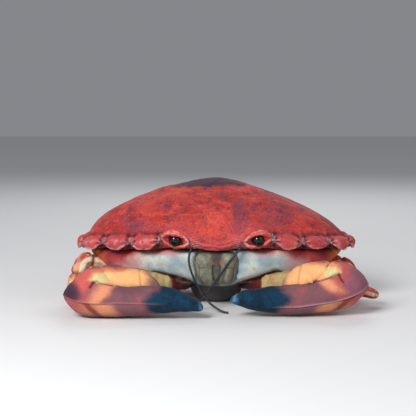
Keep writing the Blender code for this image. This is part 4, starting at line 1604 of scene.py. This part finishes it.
@dataclass
class Claw:
    """One claw: palm with fixed finger, upper finger, and the sleeve behind.

    The dart, the slit and the seam are lines in millimetres from the outer end and from the table.
    The caps are the furthest that the filling may push each cover.
    """

    print_: ClawPrint
    cheeks: bpy.types.Object
    dart: Line
    slit: Line
    seam: Line
    voxel: float = 0.0015
    palm_cap: float = 0.0010
    finger_cap: float = 0.0008
    sleeve_cap: float = 0.0012
    wrinkle_height: float = 0.00022
    cuff_depth: float = 0.0008
    sleeve_sag: float = 0.0036

    @property
    def side(self) -> Side:
        """The crab's side."""
        return self.print_.side

    def build(self) -> None:
        """Make and dress the claw's three pieces."""
        word = self.side.word
        palm = self.palm()
        finger = self.finger(palm)
        sleeve = self.stuffed(f"arm_{word}", f"sleeve_{word}", self.sleeve_cap)
        points = Shape.points(sleeve)
        wide = np.abs(points[:, 0] - MIDDLE_X)
        wrinkles = np.cos(wide * 1300 + Shape.lumps(points, 0.012, 1.0) * 2.2)
        cuff = -bell(wide - 0.0350, 0.0010) * self.cuff_depth
        Shape.raise_by(sleeve, wrinkles * self.wrinkle_height + cuff)
        points = Shape.points(sleeve)
        sag = ease(wide, 0.072, 0.038) * ease(points[:, 2], 0.012, 0.024)
        points[:, 2] -= sag * self.sleeve_sag
        Shape.place(sleeve, points)
        for against in (palm, finger, self.cheeks):
            Shape.tuck(sleeve, against, 0.0012, 0.0004)
        Shape.dress(sleeve, ArmPrint().material(), "arm_print", f"arm_{word}", fill=0.6)

    def span(self, node: str) -> tuple[float, float]:
        """Measure a node across.

        Args:
            node: The CAD node.

        Returns:
            How far out it reaches on its side, and its length.
        """
        low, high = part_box(node)
        outer = max(low[0] * self.side.value, high[0] * self.side.value)
        return float(outer), float(high[0] - low[0])

    def stuffed(self, node: str, name: str, cap: float) -> bpy.types.Object:
        """Grow a stuffed cover from a CAD node.

        Args:
            node: The CAD node.
            name: The piece's name.
            cap: The furthest that the filling may push it.

        Returns:
            The undressed piece.
        """
        piece = Shape.cover(node, name, self.voxel, cap=cap)
        points = Shape.points(piece)
        heights = Shape.lumps(points, 0.03, 3.0) * 0.0005 + Shape.lumps(points, 0.010, 8.0) * 0.0002
        Shape.raise_by(piece, heights * ease(points[:, 2], 0.0008, 0.004))
        return piece

    def palm(self) -> bpy.types.Object:
        """Palm and fixed finger, with the dart at the finger's root and the sewn seam.

        Returns:
            The palm.
        """
        word = self.side.word
        outer, _ = self.span(f"claw_{word}")
        piece = self.stuffed(f"claw_{word}", f"palm_{word}", self.palm_cap)
        points = Shape.points(piece) / MM
        run = outer / MM - points[:, 0] * self.side.value
        height = points[:, 2]
        front = ease(Shape.normals(piece)[:, 1], 0.35, 0.0)
        middle = np.array(self.dart[1])
        apart = np.hypot(run - middle[0], height - middle[1])
        dart = stroke(run, height, self.dart, 0.75) * front
        slit = stroke(run, height, self.slit, 0.6) * front
        around = np.arctan2(height - middle[1], run - middle[0])
        puckers = np.cos(around * 7) * bell(apart - 3, 4) * front
        corners = np.array(self.seam)
        seam = np.interp(run, corners[:, 0], corners[:, 1]) - height
        fade = ease(run, 100, 50)
        groove = bell(seam - 0.6, 0.6) * fade
        piping = bell(seam + 0.3, 0.6) * fade
        heights = -dart * 1.6 - slit * 1.2 - bell(apart, 4.5) * front * 0.9
        heights += puckers * 0.4 - groove * 0.6 + piping * 0.5
        Shape.raise_by(piece, heights * MM)
        # The dart, the slit and the seam's groove sink in; the print paints them dark as painted
        # shade.
        pucker = np.clip(dart + slit * 0.7 + groove * 0.35, 0, 1)
        shown = piping * ease(run, 85, 55)
        Shape.mark(piece, under=ease(seam, -0.3, 0.6), piping=shown, pucker=pucker)
        finish = self.finish(finger=False)
        return Shape.dress(piece, finish, "claw_print", f"claw_{word}", fill=0.8)

    def finish(self, finger: bool) -> bpy.types.Material:
        """The print of the palm or of the upper finger."""
        outer, _ = self.span(f"claw_{self.side.word}")
        return self.print_.material(outer, self.slit, finger)

    def finger(self, palm: bpy.types.Object) -> bpy.types.Object:
        """The upper finger, sewn into the palm.

        Args:
            palm: The palm.

        Returns:
            The finger.
        """
        word = self.side.word
        node = f"claw_finger_{word}"
        outer, length = self.span(node)
        piece = self.stuffed(node, f"finger_{word}", self.finger_cap)
        points = Shape.points(piece)
        run = (outer - points[:, 0] * self.side.value) / length
        bow = 0.70 - ((points[:, 2] - 0.026) / 0.012) ** 2 * 0.06
        crease = bell((run - bow) * length, 0.0007) * ease(run, 0.4, 0.6)
        Shape.raise_by(piece, -crease * 0.0006)
        Shape.tuck(piece, palm, 0.0024, 0.0005)
        Shape.mark(piece, crease=crease)
        finish = self.finish(finger=True)
        return Shape.dress(piece, finish, "finger_print", node, fill=0.8)


@dataclass
class Legs:
    """The eight walking legs.

    Each route runs from the root under the body over the knee to the tip, in shares of the
    shell's half width, its back reach and the rim's height.
    """

    cheeks: bpy.types.Object
    rim: RimLine
    voxel: float = 0.0015
    cap: float = 0.0008
    swell_height: float = 0.0006
    joint_depth: float = 0.0015
    seam_height: float = 0.0006
    joints: tuple[float, ...] = (0.60, 0.83)

    def routes(self) -> dict[tuple[Side, int], Route]:
        """Lay the legs out.

        Returns:
            Each leg's route, by its side and its number from the front.
        """
        found = {
            (Side.LEFT, 1): (
                (0.18, -0.32, 0.28), (0.62, -0.42, 0.36), (0.92, -0.53, 0.30), (1.20, -0.57, 0.15),
            ),
            (Side.RIGHT, 1): (
                (0.18, -0.32, 0.28), (0.66, -0.24, 0.46), (0.97, -0.36, 0.66), (1.08, -0.47, 0.12),
            ),
            (Side.LEFT, 2): (
                (0.18, -0.10, 0.28), (0.70, -0.10, 0.48), (0.99, -0.10, 0.52), (1.06, -0.08, 0.14),
            ),
            (Side.RIGHT, 2): (
                (0.18, -0.10, 0.28), (0.67, 0.02, 0.50), (0.92, 0.07, 0.55), (0.99, 0.10, 0.14),
            ),
        }
        for side in Side:
            found[side, 3] = (
                (0.18, 0.12, 0.28), (0.60, 0.41, 0.50), (0.80, 0.61, 0.50), (0.89, 0.73, 0.14),
            )
            found[side, 4] = (
                (0.15, 0.32, 0.24), (0.42, 0.73, 0.44), (0.55, 0.98, 0.42), (0.64, 1.12, 0.13),
            )
        return found

    def build(self) -> None:
        """Make and dress every leg."""
        finishes = {side: LegPrint(side=side).material() for side in Side}
        unit = np.array((self.rim.half_width, self.rim.back, self.rim.height))
        for (side, number), route in self.routes().items():
            path = smooth_path(np.array(route) * unit * (side.value, 1, 1) + STAND, 40)
            self.leg(f"leg_{side.word}_{number}", path, finishes[side])

    def leg(self, node: str, path: np.ndarray, finish: bpy.types.Material) -> None:
        """One leg: stuffed segments between sewn joints, with a seam down both sides.

        Args:
            node: The CAD node.
            path: Points along its middle.
            finish: The print.
        """
        piece = Shape.cover(node, f"walking_{node}", self.voxel, cap=self.cap)
        points = Shape.points(piece)
        tree = point_tree(path)
        nearest = np.array([tree.find(point)[1] for point in points])
        share = nearest / (len(path) - 1)
        ahead = np.gradient(path, axis=0)
        across = np.cross(ahead, (0, 0, 1))
        across /= np.linalg.norm(across, axis=1, keepdims=True)
        offset = points - path[nearest]
        offset /= np.maximum(np.linalg.norm(offset, axis=1, keepdims=True), 1e-6)
        sideways = np.abs((offset * across[nearest]).sum(1))
        joint = sum(bell(share - place, 0.016) for place in self.joints)
        seam = ease(sideways, 0.93, 0.99)
        segments = np.interp(share, (0, *self.joints, 1), range(len(self.joints) + 2))
        swell = np.abs(np.sin(math.pi * segments))
        floor = ease(points[:, 2], 0.0010, 0.004)
        heights = Shape.lumps(points, 0.016, share.mean() * 9 + path[-1][0] * 50) * 0.0004
        rise = swell * self.swell_height - joint * self.joint_depth
        heights += rise + seam * self.seam_height * (1 - joint)
        Shape.raise_by(piece, heights * floor)
        Shape.tuck(piece, self.cheeks, 0.0012, 0.0004)
        Shape.mark(piece, joint=np.clip(joint, 0, 1), seam=seam)
        Shape.dress(piece, finish, "leg_print", node, fill=0.6)


@dataclass
class Antennae:
    """The two waxed cords of the face."""

    diameter: float = 0.0018
    strands: int = 3
    twist_pitch: float = 0.0032
    step: float = 0.0003
    columns: int = 18
    taper: float = 0.12

    def routes(self) -> dict[Side, Route]:
        """Points of each antenna from the face to the table, in millimetres round the body."""
        return {
            Side.RIGHT: (
                (-19.6, -65.5, 50.0), (-21.6, -66.8, 42.0), (-20.6, -68.5, 34.0),
                (-16.4, -70.5, 23.4), (-10.8, -73.0, 14.0), (-4.5, -76.0, 7.0),
                (3.4, -79.0, 2.2), (9.0, -81.0, 1.1),
            ),
            Side.LEFT: (
                (18.9, -65.5, 50.0), (15.2, -67.0, 45.0), (9.4, -67.6, 38.0), (3.2, -67.5, 28.6),
                (-1.8, -67.0, 22.0), (-6.8, -67.0, 15.6), (-12.0, -67.0, 8.4), (-17.0, -67.5, 1.4),
            ),
        }

    def build(self) -> None:
        """Make and dress both cords."""
        finish = WaxedCord().material()
        for side, route in self.routes().items():
            path = smooth_path(np.array(route) * MM + STAND, 12)
            piece = self.tube(f"antenna_cord_{side.word}", path)
            Shape.dress(piece, finish, "waxed_cord", f"antenna_{side.word}")

    def tube(self, name: str, path: np.ndarray) -> bpy.types.Object:
        """A cord of twisted strands along a path.

        Args:
            name: The piece's name.
            path: The path.

        Returns:
            The piece.
        """
        steps = np.linalg.norm(np.diff(path, axis=0), axis=1)
        run = np.concatenate(((0.0,), np.cumsum(steps)))
        places = np.linspace(0, run[-1], int(run[-1] / self.step) + 1)
        centres = np.stack([np.interp(places, run, path[:, k]) for k in range(3)], 1)
        bm = bmesh.new()
        rings = []
        up = Vector((0.0, 1.0, 0.0))
        for k, place in enumerate(places):
            after, before = centres[min(k + 1, len(centres) - 1)], centres[max(k - 1, 0)]
            ahead = Vector(after - before).normalized()
            side = ahead.cross(up).normalized()
            over = side.cross(ahead)
            thickness = 1 - self.taper * (place / run[-1])
            ring = []
            for column in range(self.columns):
                angle = 2 * math.pi * column / self.columns
                turned = angle - 2 * math.pi * place / self.twist_pitch / self.strands
                wave = abs(math.cos(self.strands * turned / 2))
                radius = self.diameter / 2 * thickness * (0.86 + 0.18 * wave**0.6)
                offset = side * math.cos(angle) + over * math.sin(angle)
                ring.append(bm.verts.new(Vector(centres[k]) + offset * radius))
            rings.append(ring)
        for first, second in zip(rings, rings[1:]):
            for k in range(self.columns):
                n = (k + 1) % self.columns
                bm.faces.new((first[k], first[n], second[n], second[k]))
        bm.faces.new(rings[0])
        bm.faces.new(rings[-1][::-1])
        bmesh.ops.recalc_face_normals(bm, faces=bm.faces)
        return Shape.from_bmesh(bm, name)


@dataclass
class Studio:
    """Plain pale floor, soft light and the camera."""

    frame_pixels: float = 416.0
    metres_a_pixel: float = 0.000784
    eye_pixel: tuple[float, float] = (216.5, 240.0)
    eye_place: Triple = (0.0, -0.063, 0.0555)
    distance: float = 0.90
    elevation: float = 5.5
    sensor: float = 36.0
    floor_size: float = 8.0
    floor_grey: float = 0.80
    sky: Colour = (0.9, 0.93, 1.0)
    sky_strength: float = 0.26
    aim: Triple = (0.0, -0.02, 0.05)
    lamps: tuple[tuple[str, Triple, float, float], ...] = (
        ("key", (-0.45, -0.85, 0.60), 10.6, 0.36),
        ("fill", (0.85, -0.60, 0.55), 2.4, 0.8),
        ("back", (0.10, 0.90, 0.85), 4.0, 0.6),
    )

    def build(self) -> None:
        """Set up the floor, the lamps, the world and the camera."""
        self.floor()
        self.lights()
        self.camera()
        bpy.context.scene.view_settings.view_transform = "Standard"

    def floor(self) -> None:
        """A wide pale floor."""
        Shape.select_none()
        bpy.ops.mesh.primitive_plane_add(size=self.floor_size, location=(0, 0, 0))
        piece = bpy.context.object
        piece.name = "studio_floor"
        dye = Dye("studio_floor", (self.floor_grey,) * 3)
        piece.data.materials.append(dye.coat({"Roughness": 0.9}))

    def lights(self) -> None:
        """A large key from the front left, a fill from the right and a pale world."""
        world = bpy.data.worlds.new("studio")
        bpy.context.scene.world = world
        world.use_nodes = True
        sky = world.node_tree.nodes["Background"]
        sky.inputs["Color"].default_value = (*self.sky, 1.0)
        sky.inputs["Strength"].default_value = self.sky_strength
        for name, place, power, size in self.lamps:
            lamp = bpy.data.lights.new(name, "AREA")
            lamp.energy = power
            lamp.size = size
            holder = Shape.add(name, lamp)
            holder.location = place
            aim = Vector(self.aim) - Vector(place)
            holder.rotation_euler = aim.to_track_quat("-Z", "Y").to_euler()

    def camera(self) -> None:
        """A camera in front of the face, where the photograph was taken from."""
        eye = np.array(self.eye_place) + STAND
        across = (self.frame_pixels / 2 - self.eye_pixel[0]) * self.metres_a_pixel
        up = (self.eye_pixel[1] - self.frame_pixels / 2) * self.metres_a_pixel
        tilt = math.radians(self.elevation)
        back = Vector((0, -math.cos(tilt), math.sin(tilt)))
        above = Vector((0, math.sin(tilt), math.cos(tilt)))
        target = Vector(eye) + Vector((1, 0, 0)) * across + above * up
        lens = bpy.data.cameras.new("photo_camera")
        lens.sensor_width = self.sensor
        lens.lens = self.sensor * self.distance / (self.frame_pixels * self.metres_a_pixel)
        holder = Shape.add("photo_camera", lens)
        holder.location = target + back * self.distance
        holder.rotation_euler = (-back).to_track_quat("-Z", "Y").to_euler()
        bpy.context.scene.camera = holder


def main() -> None:
    """Build every part of the crab and the studio round it."""
    logging.basicConfig(level=logging.INFO)
    Studio().build()
    Antennae().build()
    rim = RimLine()
    shell = Shell(rim=rim).build()
    cheeks = Belly().build()
    MouthPanel(cheeks=cheeks).build()
    Face(shell=shell).build()
    left = ClawPrint(
        side=Side.LEFT, length=104.0, lift=3.3, patch_slope=1.35, glow=21.0, shade=20.0,
        dusty=0.45, piping=paint(204, 164, 182), purple=paint(142, 86, 102),
    )
    right = ClawPrint(
        side=Side.RIGHT, length=106.5, lift=0.0, patch_slope=0.80, glow=15.5, shade=12.5,
        dusty=0.05, piping=paint(186, 110, 112), purple=paint(80, 46, 62),
    )
    Claw(
        print_=left, cheeks=cheeks,
        dart=((25.2, 34.8), (23.9, 31.5), (21.8, 28.5)),
        slit=((25.2, 34.0), (27.3, 34.4), (29.8, 33.4), (32.3, 31.5), (39.0, 28.5), (47.4, 26.2)),
        seam=((0, 24.8), (8.8, 19.3), (19.8, 15.1), (30.6, 12.6), (43, 10.9), (56, 9.0), (80, 8.5)),
    ).build()
    Claw(
        print_=right, cheeks=cheeks,
        dart=((24.6, 29.6), (23.9, 28.4), (22.7, 25.8)),
        slit=((24.6, 29.2), (27.9, 30.2), (30.0, 28.7), (33.0, 28.0), (39.5, 26.4)),
        seam=((0, 17.0), (12.9, 14.1), (29.5, 12.9), (43, 13.5), (80, 12.5)),
    ).build()
    Legs(cheeks=cheeks, rim=rim).build()


if __name__ == "__main__":
    main()
